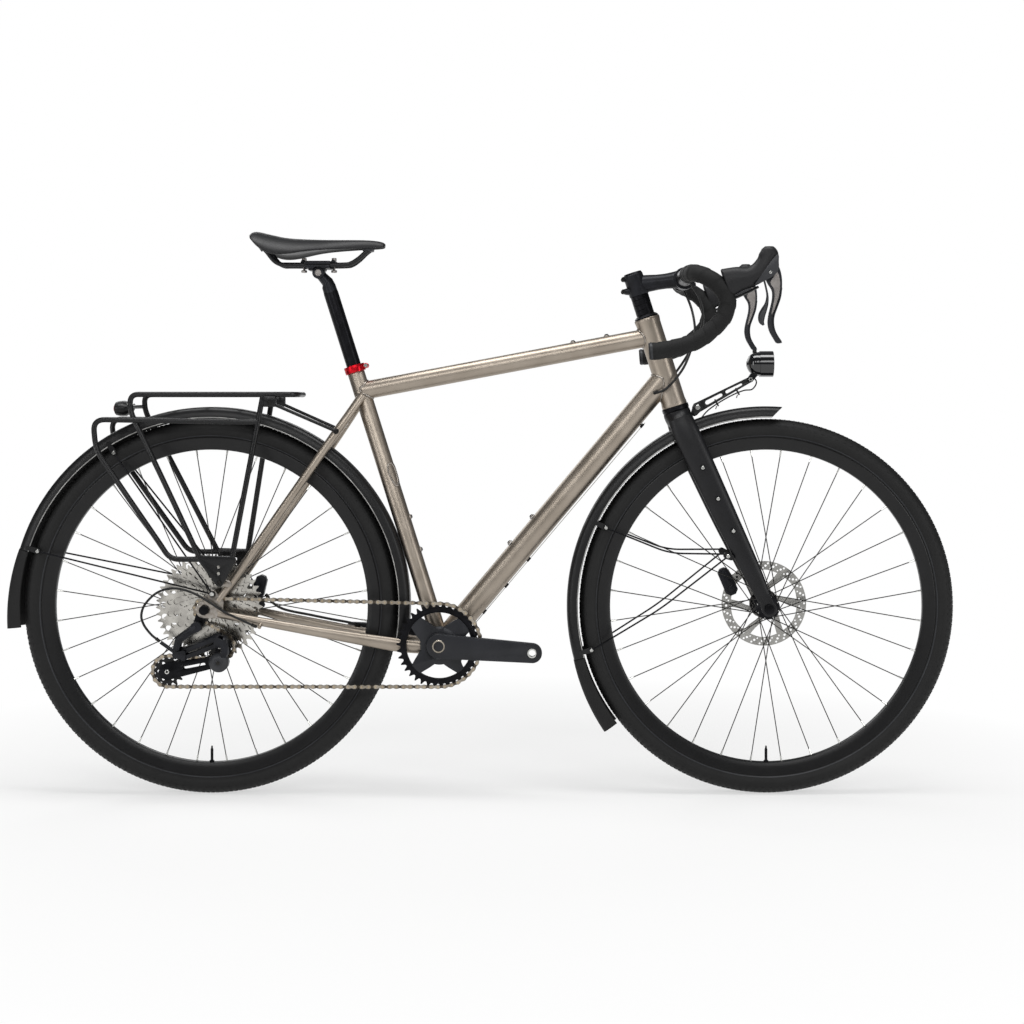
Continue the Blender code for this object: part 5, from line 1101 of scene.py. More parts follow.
def makeStem():
    body, spacers, bolts = bmesh.new(), bmesh.new(), bmesh.new()
    lathe(spacers, [(14.6, 0.3), (22.2, 0.3), (22.5, 0.8), (22.4, 2.8), (20, 5.2), (17.2, 7), (14.6, 7)], headTop,
          headWay, 64)
    for low, high in ((7.3, 16.9), (17.2, 26.8), (27.1, 36.7), (37, 44.7)):
        lathe(spacers, [(14.6, low), (16.6, low), (17, low + 0.4), (17, high - 0.4), (16.6, high), (14.6, high)],
              headTop, headWay, 64)
    lathe(spacers, [(0.01, 84), (17.6, 84), (17.8, 86.4), (16.4, 89), (6.5, 89.4), (6.2, 87.6), (0.01, 87.6)],
          headTop, headWay, 64)
    makeBolt(bolts, alongHead(86.6), headWay, 5.6, 2.6)
    lathe(body, [(14.6, 45), (18, 45), (18.5, 45.6), (18.5, 84.6), (17.8, 85.4), (14.6, 85.4)], headTop, headWay, 64)
    root = alongHead(65.5)
    reach = barClamp - root
    sizes = ((15.5, 17.5), (14.6, 16), (13.6, 14.4), (13.8, 14.2), (17, 15.5), (19, 17))
    sweep(body, [root + reach * t for t in (0.0, 0.25, 0.45, 0.62, 0.78, 0.88)], sizes, 40)
    lathe(body, [(16.3, -21.4), (19.8, -21.4), (20.4, -20.8), (20.4, 20.8), (19.8, 21.4), (16.3, 21.4)], barClamp,
          steps=64)
    for up in (-13, 10):
        back = root + Vector((-24, 0, up))
        ear = [root + Vector((-8, 0, up * 0.9)), back + Vector((5, 0, 0)), back]
        sweep(body, ear, [(11, 8), (12.6, 6), (12.6, 4.5)], 28)
        for side in (-1, 1):
            makeBolt(bolts, back + Vector((0, side * 10.8, 0)), (0, side, 0), 4.2, 2.6)
    front = reach.normalized()
    above = Vector((-front.z, 0, front.x))
    for side in (-1, 1):
        for lift in (-1, 1):
            foot = barClamp + front * 17.6 + above * (lift * 13.5) + Vector((0, side * 13, 0))
            rod(body, foot - front * 14, foot, 4.4, 20)
            makeBolt(bolts, foot - front * 0.3, front, 3.6, 2.4)
    finishPiece(spacers, "headsetSpacers", "blackAnodised", "steering", (), 30)
    finishPiece(body, "stemBody", "forgedBlack", "steering", ("stem",), 40)
    finishPiece(bolts, "stemBolts", "spokeSteel", "steering", ())


def makeBar():
    bm = bmesh.new()
    path = [Vector((455, y, 679.5)) for y in (-111, -92, -80, -60, -40, 0, 40, 60, 80, 92, 111)]
    radii = (12.6, 12.6, 13.6, 15.6, 15.9, 15.9, 15.9, 15.6, 13.6, 12.6, 12.6)
    sweep(bm, path, [(r, r) for r in radii], 48)
    finishPiece(bm, "barMiddle", "blackAnodised", "steering", ("handlebar",))


def makeTape(side):
    # tape laid in overlapping turns: each turn swells, then drops to the next one's edge
    word = "right" if side < 0 else "left"
    centre = curved([(x, -side * y, z) for x, y, z in barPath[2:]], 40)
    lengths = [0.0]
    for a, b in zip(centre, centre[1:]):
        lengths.append(lengths[-1] + (b - a).length)
    step, turn = 1.3, 23.0
    count = int(lengths[-1] / step)
    points, place = [], 0
    for i in range(count + 1):
        want = lengths[-1] * i / count
        while lengths[place + 1] < want - 1e-9 and place < len(lengths) - 2:
            place += 1
        share = (want - lengths[place]) / max(lengths[place + 1] - lengths[place], 1e-9)
        points.append(centre[place].lerp(centre[place + 1], share))
    bm = bmesh.new()
    sweep(bm, points, (15.2, 15.2), 32)
    places = ringPlaces(points)
    bm.verts.ensure_lookup_table()
    for i, centrePlace in enumerate(places):
        for j in range(32):
            vert = bm.verts[i * 32 + j] if i else bm.verts[j]
            local = centrePlace.inverted() @ vert.co
            around = math.atan2(local.y, local.x) / math.tau
            share = (i * step / turn + around * -side) % 1.0
            swell = 0.1 + 1.15 * min(share / 0.84, 1.0) ** 0.7 if share < 0.84 else 1.25 - 1.15 * (share - 0.84) / 0.16
            ends = min(1.0, (count - i) * step / 8 + 0.05)
            grow = (14.6 + swell * ends) / 15.2
            vert.co = centrePlace @ Vector((local.x * grow, local.y * grow, 0))
    finishPiece(bm, "wrappedTape" + word.title(), "barTape", "steering", ("bar_tape_" + word,), 60)
    plug = bmesh.new()
    end, way = points[-1], (points[-1] - points[-4]).normalized()
    lathe(plug, [(0.01, -4), (15.4, -4), (15.9, -2.2), (15.2, 0.2), (12, 1.6), (9, 1.9), (8.4, 1.2), (0.01, 1.2)],
          end - way * 1.9, way, 48)
    finishPiece(plug, "barPlug" + word.title(), "moulderGrey", "steering", ())
    strip = bmesh.new()
    start, way = points[0], (points[0] - points[4]).normalized()
    lathe(strip, [(14.4, -8), (15.9, -8), (15.9, 1.5), (15.4, 2.2), (12.8, 2.2), (12.8, 1)], start, way, 48)
    finishPiece(strip, "finishingTape" + word.title(), "blackAnodised", "steering", ())


makeFork()
makeStem()
makeBar()
for side in (-1, 1):
    makeTape(side)
print("fork and bar made")


# Levers and cables

hoodFacts = {
    "centre": ((514, 657), (536, 664.5), (556, 668), (573, 676.5), (586.5, 692), (590.5, 707), (591, 717),
               (591, 722.5)),
    "sizes": ((14.5, 27), (15, 22.5), (15.5, 18.6), (14.6, 18.6), (13.6, 18.8), (13.2, 17.4), (11, 13.5), (6.5, 7.5)),
    "depth": 210.0,
    "pivot": (592.0, 676.0),
    "cheek": ((602.5, 707), (606.5, 693), (606, 682), (600, 672.5), (586, 663), (568, 656.5), (567, 658.5)),
}
leverFacts = {
    # the blade's front edge from its top down to the tip, and its back edge up again to the root
    "front": ((604, 692), (609.5, 683), (613, 668), (613.4, 650), (611, 633), (605.7, 617), (600, 601), (598.8, 588),
              (601, 575), (606.5, 564), (612.6, 555), (612.4, 552.6)),
    "back": ((604, 552.6), (598, 561), (591, 574), (588.4, 588), (589.8, 602), (593.4, 617), (596.4, 632), (595.6, 645),
             (589, 656), (585.6, 664), (585.3, 677), (589, 683), (597, 688)),
    "inlay": ((603.5, 679), (609, 666), (609.6, 650), (607.2, 634), (602, 618), (596.6, 604.5),
              (594.5, 604.5), (597.4, 617),
              (600, 632), (599, 647), (593, 658), (598, 668)),
}


def carved(bm, cutter):
    # one closed mesh with another taken out of it
    shells = []
    for name, part in (("carvedBase", bm), ("carvingTool", cutter)):
        bmesh.ops.recalc_face_normals(part, faces=part.faces)
        mesh = bpy.data.meshes.new(name)
        part.to_mesh(mesh)
        part.free()
        shell = bpy.data.objects.new(name, mesh)
        bpy.context.scene.collection.objects.link(shell)
        shells.append(shell)
    base, tool = shells
    cut = base.modifiers.new("cut", "BOOLEAN")
    cut.operation, cut.solver, cut.object = "DIFFERENCE", "EXACT", tool
    graph = bpy.context.evaluated_depsgraph_get()
    result = bmesh.new()
    result.from_mesh(base.evaluated_get(graph).to_mesh())
    for shell in shells:
        mesh = shell.data
        bpy.data.objects.remove(shell)
        bpy.data.meshes.remove(mesh)
    return result


def outlined(points, steps=5):
    # a closed outline eased through the points
    spots = [Vector((x, 0, z)) for x, z in points]
    count = len(spots)
    outline = []
    for i in range(count):
        a, b, c, d = (spots[(i + k) % count] for k in (-1, 0, 1, 2))
        for j in range(steps):
            t = j / steps
            p = 0.5 * (2 * b + (c - a) * t + (2 * a - 5 * b + 4 * c - d) * t * t + (3 * b - a - 3 * c + d) * t ** 3)
            outline.append((p.x, p.z))
    return outline


def makeHood(side):
    word = "Right" if side < 0 else "Left"
    y = side * hoodFacts["depth"]
    px, pz = hoodFacts["pivot"]
    bm = bmesh.new()
    sweep(bm, curved([(x, y, z) for x, z in hoodFacts["centre"]], 6), blended(hoodFacts["sizes"], 6), 40)
    softened(bm, 3.0, 3, 50)
    slot = bmesh.new()
    block(slot, (567, y - 5.3, 630), (640, y + 5.3, 694.5))
    bm = carved(bm, slot)
    finishPiece(bm, "hoodRubber" + word, "hoodRubber", "steering", ("lever_hood_" + word.lower(),), 50)
    cheeks, pins, strut = bmesh.new(), bmesh.new(), bmesh.new()
    for face in (-1, 1):
        low, high = sorted((y + face * 6.0, y + face * 14.9))
        discShape(cheeks, [outlined(hoodFacts["cheek"], 4)], low, high)
        makeBolt(pins, Vector((px, y + face * 14.6, pz)), (0, face, 0), 2.6, 1.0)
    softened(cheeks, 0.9)
    finishPiece(cheeks, "hoodCheeks" + word, "moulderGrey", "steering", ())
    rod(pins, (px, y - 13, pz), (px, y + 13, pz), 2.4, 16)
    finishPiece(pins, "leverPin" + word, "silverSteel", "steering", ())
    sweep(strut, curved([(527, y, 630), (544, y, 637.5), (560, y, 645), (572, y, 651.5)], 5), (7.0, 2.4), 16)
    finishPiece(strut, "hoodRib" + word, "mouldedBlack", "steering", ())


def makeLever(side):
    word = "Right" if side < 0 else "Left"
    body = "brake_lever_" + word.lower()
    y = side * hoodFacts["depth"]
    front, back = leverFacts["front"], leverFacts["back"]
    core = bmesh.new()
    outline = outlined(front + back, 4)
    discShape(core, [outline, circlePoints(hoodFacts["pivot"], 2.9, 20)], y - 4.4, y + 4.4)
    softened(core, 1.1, 2)
    face = curved([(x - 0.6, y, z) for x, z in front[3:-1]], 5)
    count = len(face)
    widths = [(4.6 + 2.6 * math.sin(math.pi * min(i / count * 1.15, 1.0) ** 0.8) + 1.2 * i / count, 1.5)
              for i in range(count)]
    sweep(core, face, widths, 20)
    finishPiece(core, "leverBlade" + word, "crankCarbon", body, (body,), 45)
    inlay = bmesh.new()
    for side2 in (-1, 1):
        low, high = sorted((y + side2 * 4.3, y + side2 * 5.0))
        discShape(inlay, [outlined(leverFacts["inlay"], 4)], low, high)
    finishPiece(inlay, "leverInlay" + word, "leverGrey", body, ())


def makePaddle():
    y = -hoodFacts["depth"]
    bm = bmesh.new()
    path = ((581.5, 666), (585, 652), (588, 636), (586.5, 622), (582, 611), (578, 601), (577.5, 591), (581.5, 584))
    sizes = ((2.6, 1.7), (2.4, 1.7), (2.8, 2.0), (4.3, 3.4), (6.4, 5.4), (7.4, 6.2), (6.8, 5.0), (3.6, 1.8))
    sweep(bm, curved([(x, y, z) for x, z in path], 6), blended(sizes, 6), 28)
    lathe(bm, [(2.5, 578.4), (4.4, 578.4), (4.4, 584.5), (2.5, 584.5)], (0, y, 669), (1, 0, 0), 28)
    finishPiece(bm, "shiftLeaf", "moulderGrey", "shift_paddle", ("shift_paddle",), 50)
    pin = bmesh.new()
    rod(pin, (576.8, y, 669), (595, y, 669), 1.9, 16)
    finishPiece(pin, "shiftPin", "silverSteel", "brake_lever_right", ())


cablePaths = {
    "barHoseRight": ((461, -96, 665.3), (480, -78, 634), (487, -40, 596), (475, 0, 562), (452, 24, 520), (420, 29, 480),
                     (397, 24.4, 465.4)),
    "barHoseLeft": ((461, 96, 665.3), (474, 76, 628), (478, 40, 590), (472, 2, 560), (452, -26, 512), (420, -30, 474),
                    (397, -24.4, 465.4)),
    "rearHose": ((-155, 40, 26.3), (-178, 42, 31.7), (-212, 47, 37.2), (-250, 52.3, 44.2), (-300, 58.3, 53.7),
                 (-322, 59, 65), (-332, 58, 76), (-337.6, 57, 83.5)),
    "gearHousing": ((-332, -75.5, 37), (-386, -84, 63.8), (-417, -86.5, 83.8), (-444, -87, 99.3), (-470.5, -87, 108),
                    (-492.6, -87, 108), (-515, -86, 99.3), (-534.7, -85, 79.4), (-541.5, -84, 59.4), (-537, -83, 41.7),
                    (-523.7, -82, 23.9), (-508.2, -81, 11.2)),
}


def ferrule(bm, path, radius, length):
    # a crimped metal end on a housing
    start = Vector(path[0])
    way = (Vector(path[1]) - start).normalized()
    lathe(bm, [(0.9, 0), (radius * 0.8, 0), (radius, 0.8), (radius, length * 0.7), (radius * 1.12, length * 0.75),
               (radius * 1.12, length), (0.9, length)], start, way, 20)


def makeCables():
    front, ends = bmesh.new(), bmesh.new()
    for name in ("barHoseRight", "barHoseLeft"):
        sweep(front, curved(cablePaths[name], 12), (2.4, 2.4), 14)
        ferrule(ends, curved(cablePaths[name], 12)[::-1], 3.3, 9)
    hoses = finishPiece(front, "barHoses", "housingPvc", None, ("bar_cables",))
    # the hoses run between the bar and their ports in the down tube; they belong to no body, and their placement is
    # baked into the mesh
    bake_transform(hoses)
    finishPiece(ends, "hoseGrommets", "flapRubber", "frame", ())
    for name, node, radius in (("rearHose", "rear_hose", 2.4), ("gearHousing", "gear_housing", 2.2)):
        bm = bmesh.new()
        path = curved(cablePaths[name], 12)
        sweep(bm, path, (radius, radius), 14)
        finishPiece(bm, name, "housingPvc", "frame", (node,))
        caps = bmesh.new()
        ferrule(caps, path, radius + 0.7, 11)
        ferrule(caps, path[::-1], radius + 0.7, 9)
        finishPiece(caps, name + "Ends", "spokeSteel", "frame", ())


for side in (-1, 1):
    makeHood(side)
    makeLever(side)
makePaddle()
makeCables()
print("levers and cables made")


# Fenders, rack and lamps

fenderFacts = {"half": 25.0, "depth": 20.0, "rearReach": 372.0, "frontReach": 373.0}


def channel(bm, centre, start, end, steps, reach, grow=0.0, wall=1.8):
    # a fender's open section bent round the wheel; its edges are rolled and its crown is rounded
    half, depth = fenderFacts["half"], fenderFacts["depth"]
    inner = reach - depth
    half1 = [(inner, half - wall), (inner - 0.9, half - wall / 2), (inner, half), (inner + 6, half - 0.3),
             (inner + 12.5, half - 2.4), (inner + 16.5, half - 5), (reach - 1.0, half - 9),
             (reach, half - 15), (reach, 0)]
    under = [(reach - wall, 0), (reach - wall, half - 15.5), (reach - 1.0 - wall, half - 10),
             (inner + 15.2, half - 6.6),
             (inner + 11.6, half - 4.2), (inner + 6, half - wall - 0.3)]
    section = half1 + [(r, -y) for r, y in reversed(half1[:-1])]
    section += [(r, -y) for r, y in reversed(under)] + under[1:]
    axis = Vector((0, -1, 0))
    corners = [bm.verts.new(polar(centre, r, start, y) * mm) for r, y in section]
    ring = [bm.edges.new((corners[i - 1], corners[i])) for i in range(len(corners))]
    face = bmesh.ops.edgeloop_fill(bm, edges=ring)["faces"]
    made = bmesh.ops.spin(bm, geom=face, cent=centre * mm, axis=axis, angle=math.radians(end - start), steps=steps,
                          use_duplicate=False)
    if grow:
        bm.verts.ensure_lookup_table()
        for vert in bm.verts:
            spot = vert.co / mm - centre
            angle = math.degrees(math.atan2(spot.z, spot.x)) % 360
            radius = math.hypot(spot.x, spot.z)
            share = min(max((angle - start) / (end - start), 0), 1)
            if radius > inner + 1:
                fresh = polar(centre, radius + grow * share * (radius - inner) / depth, angle, spot.y)
                vert.co = fresh * mm
    return made


def fenderHighlightStrip(bm, centre, start, end, reach):
    # a pale strip along the fender's lower edge: painted highlight of its rolled rim
    inner = reach - fenderFacts["depth"]
    for side in (-1, 1):
        path = [polar(centre, inner + 0.4, start + (end - start) * i / 90, side * 25.1) for i in range(91)]
        sweep(bm, path, (0.6, 0.9), 6)


def slantTip(bm, centre, angle, reach):
    # the front fender's nose is cut on a slant, longest at the crown
    for vert in bm.verts:
        spot = vert.co / mm - centre
        turn = math.degrees(math.atan2(spot.z, spot.x)) % 360
        if turn < angle + 8:
            depth = (reach - math.hypot(spot.x, spot.z)) / fenderFacts["depth"]
            share = (angle + 8 - turn) / 8
            vert.co = polar(centre, math.hypot(spot.x, spot.z), turn + 3.0 * depth * share, spot.y) * mm


def makeFenders():
    for name, centre, start, end, reach, body in (
            ("rear_fender", rearAxle, -10, 163, fenderFacts["rearReach"], "frame"),
            ("front_fender", frontAxle, 85.5, 195.5, fenderFacts["frontReach"], "steering")):
        bm, line = bmesh.new(), bmesh.new()
        channel(bm, centre, start, end, 120, reach)
        if body == "steering":
            slantTip(bm, centre, start, reach)
        fenderHighlightStrip(line, centre, start + (3 if body == "steering" else 0), end, reach)
        finishPiece(bm, name.replace("_f", "F"), "mouldedBlack", body, (name,), 40)
        # the pale strip is a painted highlight along the fender's lower edge
        finishPiece(line, name.replace("_f", "F") + "Line", "paintedEdgeHighlight", body, ())
    for name, centre, start, end, reach, body in (
            ("rear_mudflap", rearAxle, 163.2, 186.2, 373, "frame"),
            ("front_mudflap", frontAxle, 195.7, 217.7, 374, "steering")):
        bm = bmesh.new()
        channel(bm, centre, start, end, 24, reach, 9, 2.6)
        finishPiece(bm, name.replace("_m", "M"), "flapRubber", body, (name,), 40)
        rivets = bmesh.new()
        for y in (-9, 9):
            for turn in (2.2, 5.0):
                foot = polar(centre, reach - 0.4, start + turn, y)
                makeBolt(rivets, foot, foot - centre - Vector((0, foot.y, 0)), 2.6, 1.3, 0.3)
        finishPiece(rivets, name.replace("_m", "M") + "Rivets", "spokeSteel", body, ())


rearBolts = ((-747.1, 171.8), (-605.7, 354.6))
frontBolts = ((308.2, 215.5), (281.4, -12.0))
frontBends = ((425.2, 169.5), (408.3, 66.7))


def stayEnd(straps, heads, centre, bolt, side):
    # a strap up the fender's side, an eye round the stay's end and a silver bolt
    spot = point(*bolt, 0)
    away = (spot - centre).normalized()
    out = Vector((0, side, 0))
    tip = spot + away * 20
    low, high = sorted((side * 25.4, side * 26.8))
    discShape(straps, [belt([(spot.x, spot.z, 5.4), (tip.x, tip.z, 4)], 24)], low, high)
    foot = Vector((spot.x, side * 26.6, spot.z))
    lathe(straps, [(0.01, 0), (4.9, 0), (4.9, 2.2), (4.3, 2.9), (0.01, 2.9)], foot, out, 24)
    makeBolt(heads, foot + out * 2.7, out, 3.5, 2.2)


def makeFenderStays(side):
    word = "Right" if side < 0 else "Left"
    rods, straps, heads = bmesh.new(), bmesh.new(), bmesh.new()
    root = Vector((eyelet.x, side * 80.6, eyelet.z))
    for bolt in rearBolts:
        rod(rods, root, (bolt[0], side * 27.8, bolt[1]), 1.6, 12)
        stayEnd(straps, heads, rearAxle, bolt, side)
    lathe(straps, [(2.8, 77.4), (5.4, 77.4), (5.6, 78), (5.6, 82), (5.2, 82.6), (0.01, 82.6), (0.01, 81), (2.8, 81)],
          (eyelet.x, 0, eyelet.z), (0, side, 0), 24)
    makeBolt(heads, root + Vector((0, side * 2.0, 0)), (0, side, 0), 4.2, 2.4)
    finishPiece(rods, "rearStayRods" + word, "blackAnodised", "frame", ("rear_stays_" + word.lower(),))
    finishPiece(straps, "rearStayStraps" + word, "powderCoat", "frame", ())
    finishPiece(heads, "rearStayBolts" + word, "silverSteel", "frame", ())
    rods, straps, heads = bmesh.new(), bmesh.new(), bmesh.new()
    for bolt, bend, drop in zip(frontBolts, frontBends, (3, -3)):
        end = Vector((530.2, side * 57, 166 + drop))
        path = rounded([(bolt[0], side * 27.8, bolt[1]), (bend[0], side * 45, bend[1]), end], 26, 8)
        sweep(rods, path, (1.6, 1.6), 12)
        stayEnd(straps, heads, frontAxle, bolt, side)
    low, high = sorted((side * 49, side * 60.4))
    discShape(straps, [belt([(530.2, 166, 6.2), (538, 163, 5.4)], 24)], low, high)
    makeBolt(heads, Vector((532.4, side * 60.2, 165.4)), (0, side, 0), 3.8, 2.2)
    finishPiece(rods, "frontStayRods" + word, "blackAnodised", "steering", ("front_stays_" + word.lower(),))
    finishPiece(straps, "frontStayStraps" + word, "powderCoat", "steering", ())
    finishPiece(heads, "frontStayBolts" + word, "silverSteel", "steering", ())


rackLeg = ((-262, 0, 463), (-262, 42, 463), (-290, 55, 463), (-420, 55, 463), (-568, 57, 463), (-568, 59, 433),
           (-502, 72, 301), (-436.5, 85, 168), (-434, 85, 163))
rackRail = ((-333, 61, 412), (-460, 64, 414), (-634, 67, 417), (-628, 72, 362), (-570, 77, 278), (-508, 82, 190),
            (-489, 85, 162), (-420, 85, 162), (-372, 85, 163))


def makeRack():
    tubes, feet, bolts = bmesh.new(), bmesh.new(), bmesh.new()
    for side in (-1, 1):
        leg = [Vector((x, side * y, z)) for x, y, z in rackLeg]
        sweep(tubes, rounded(leg, 24, 8), (5, 5), 24)
        sweep(tubes, rounded([(x, side * y, z) for x, y, z in rackRail], 22, 8), (5, 5), 24)
        rod(tubes, (-324, side * 55, 463), (-376, side * 85, 163), 5, 24)
        low, high = sorted((side * 84.4, side * 90.4))
        outline = belt([(-374, 161, 6), (-432, 163, 6), (rackBoss.x, rackBoss.z, 7)], 32)
        holes = [circlePoints((-400, z), 3, 20) for z in (136, 148)]
        discShape(feet, [outline, *holes], low, high)
        makeBolt(bolts, Vector((rackBoss.x, side * 90.2, rackBoss.z)), (0, side, 0), 4.4, 3.2)
        rod(feet, (rackBoss.x, side * 79.9, rackBoss.z), (rackBoss.x, side * 84.6, rackBoss.z), 4.2, 24)
        rod(tubes, (-191, side * 44.5, 395), (-307, side * 55, 446), 3, 20)
        rod(feet, (-191, side * 42.8, 395), (-191, side * 46.8, 395), 5.4, 24)
        makeBolt(bolts, Vector((-191, side * 46.6, 395)), (0, side, 0), 4.2, 2.6)
        block(feet, (-323, side * 55 - 6.5, 440), (-300, side * 55 + 6.5, 460), 1.4)
        makeBolt(bolts, Vector((-311, side * 61.2, 448)), (0, side, 0), 3.6, 2.6)
    for x in (-310.0, -375.0, -440.0, -505.0):
        rod(tubes, (x, -55, 463), (x, 55, 463), 3.5, 20)
    rod(tubes, (-571, -58, 440), (-571, 58, 440), 3.5, 20)
    finishPiece(tubes, "rackTubes", "powderCoat", "frame", ("luggage_rack",), 50)
    softened(feet, 0.5)
    finishPiece(feet, "rackFeet", "powderCoat", "frame", ())
    finishPiece(bolts, "rackBolts", "spokeSteel", "frame", ())


def makeTailLight():
    shell, lens, nut = bmesh.new(), bmesh.new(), bmesh.new()
    rings = ((-606.5, 437), (-606, 437), (-600, 437), (-590, 437.2), (-580, 438.8), (-576, 440))
    sizes = ((23, 10), (25.5, 12.6), (27.2, 14.2), (27.6, 14.6), (22, 10.5), (12, 6))
    sweep(shell, [(x, 0, z) for x, z in rings], sizes, 40)
    finishPiece(shell, "tailShell", "mouldedBlack", "frame", ("tail_light",), 50)
    sweep(lens, [(-608, 0, 437), (-607.4, 0, 437), (-606.2, 0, 437)], ((20.5, 8), (22.4, 9.4), (22.8, 9.8)), 40)
    finishPiece(lens, "tailLens", "redLens", "frame", (), 50)
    for y in (-17, 17):
        makeBolt(nut, Vector((-581, y, 444)), (0.2, 0, 1), 4.4, 2.6)
    finishPiece(nut, "tailBolts", "silverSteel", "frame", ())


def makeLamp():
    shell, glass, mirror, button = bmesh.new(), bmesh.new(), bmesh.new(), bmesh.new()
    start = Vector((571.6, 0, 520))
    dome = [(0.01, 0.1)] + [(22.4 * math.sin(a), 21 - 20.9 * math.cos(a)) for a in (0.2, 0.45, 0.7, 0.95, 1.2, 1.42)]
    lathe(shell, [*dome, (22.6, 23), (22.6, 24.4), (24.2, 24.8), (24.3, 49.4), (23.6, 50), (22, 50), (22, 44), (20, 42),
                  (0.01, 42)], start, (1, 0, 0), 96)
    for side in (-1, 1):
        low, high = sorted((side * 4, side * 7))
        discShape(shell, [belt([(579, 491.3, 5.5), (588, 503, 6)], 32), circlePoints((579, 491.3), 2.6, 16)], low, high)
    finishPiece(shell, "lampShell", "glossLamp", "headlight", ("headlight",), 30)
    lathe(mirror, [(21.6, 48), (21.6, 44.2), (17, 43.2), (9, 42.6), (0.01, 42.4), (0.01, 43), (9, 43.4),
                   (17, 44.2), (21, 48)],
          start, (1, 0, 0), 64)
    finishPiece(mirror, "lampMirror", "silverSteel", "headlight", ())
    lathe(glass, [(0.01, 47.8), (14, 47.4), (21.8, 46.8), (21.8, 48.6), (14, 49.3), (0.01, 49.8)], start, (1, 0, 0), 64)
    finishPiece(glass, "lampGlass", "lensGlass", "headlight", ())
    lathe(button, [(0.01, 21), (4, 21), (4, 25.6), (3.4, 26.4), (0.01, 26.6)], start + Vector((15.5, 0, 0)),
          (0, 0, 1), 24)
    rod(button, (579, -9.4, 491.3), (579, 9.4, 491.3), 2.5, 20)
    finishPiece(button, "lampButton", "mouldedBlack", "headlight", ())
    heads = bmesh.new()
    for side in (-1, 1):
        lathe(heads, [(2.2, 7.2), (4.6, 7.2), (4.6, 9.6), (4, 10.2), (2.2, 10.2)], (579, 0, 491.3), (0, side, 0), 6)
    finishPiece(heads, "lampNuts", "silverSteel", "headlight", ())
    root = bmesh.new()
    for side in (-1, 1):
        makeBolt(root, Vector((480, side * 8.6, 438.6)), (0, side, 0), 5.4, 2.8)
    finishPiece(root, "bracketBolts", "silverSteel", "steering", ())


makeFenders()
for side in (-1, 1):
    makeFenderStays(side)
makeRack()
makeTailLight()
makeLamp()
print("touring parts made")


# Saddle and seatpost

saddleFacts = {
    # stations from tail to nose: place, half width, top and lowest edge of the skirt
    "stations": ((-350.5, 40, 766, 757), (-345, 54, 767.4, 750.5), (-336, 64, 766.4, 742.5), (-324, 70, 763.6, 732.5),
                 (-310, 72.4, 760.2, 724.4), (-296, 72, 757.2, 721.4), (-278, 69.5, 754.8, 722.4),
                 (-258, 62, 753.4, 726), (-236, 51.5, 752.6, 729.6), (-212, 39, 752.2, 732), (-186, 29.5, 752.2, 733.6),
                 (-158, 23.4, 752.2, 735), (-134, 20, 751.6, 735.8), (-117, 17.4, 749.8, 736.4),
                 (-108, 14.6, 747.2, 737.2), (-104.4, 11, 744.6, 738.8)),
    "rail": ((-340, 35, 748), (-331, 33.5, 739), (-320, 31, 726.5), (-308, 28, 711.5), (-296, 25, 705),
             (-282, 23, 704.4), (-228, 22, 704.4), (-180, 20.4, 704.6), (-166, 18, 707.4), (-153, 14, 716),
             (-141, 11, 727), (-131, 9.6, 734.6)),
}
headAxis = point(-228.0, 690.0)


def crownOutline(low=-1.0, thick=0.30):
    # half the section's width and height are 1: a domed top with a shallow groove, drawn-in skirts, a flat floor
    outline = []
    for i in range(33):
        u = math.cos(math.pi * i / 32)
        crown = (1 - abs(u) ** 2.7) ** 0.72
        outline.append((u, low + 2 * crown - 0.16 * math.exp(-((u / 0.2) ** 2))))
    outline += [(-0.965, low - 0.1), (-0.9, low - 0.08), (-0.84, low + thick), (-0.4, low + thick + 0.12),
                (0.4, low + thick + 0.12), (0.84, low + thick), (0.9, low - 0.08), (0.965, low - 0.1)]
    return outline


def makeSaddle():
    cover, base = bmesh.new(), bmesh.new()
    rows = saddleFacts["stations"]
    spots = [(x, 0, (top + low) / 2) for x, _, top, low in rows]
    sizes = [(half, (top - low) / 2) for _, half, top, low in rows]
    sweep(cover, curved(spots, 5), blended(sizes, 5), crownOutline())
    # the path runs forward, so the section's own up is the saddle's up
    piece = finishPiece(cover, "saddlePad", "saddleSkin", "saddle", ("saddle",), 60, 1)
    inner = [(x, half * 0.83, (top + low) / 2 - (top - low) * 0.22, (top - low) * 0.16)
             for x, half, top, low in rows[2:-2]]
    sweep(base, curved([(x, 0, z) for x, _, z, _ in inner], 5), blended([(h, t) for _, h, _, t in inner], 5), 28)
    for side in (-1, 1):
        rod(base, (-337, side * 30, 749), (-326, side * 30, 731), 7.5, 20, 6)
    block(base, (-146, -14, 730), (-126, 14, 741), 2.5)
    finishPiece(base, "saddleBase", "moulderGrey", "saddle", (), 50)


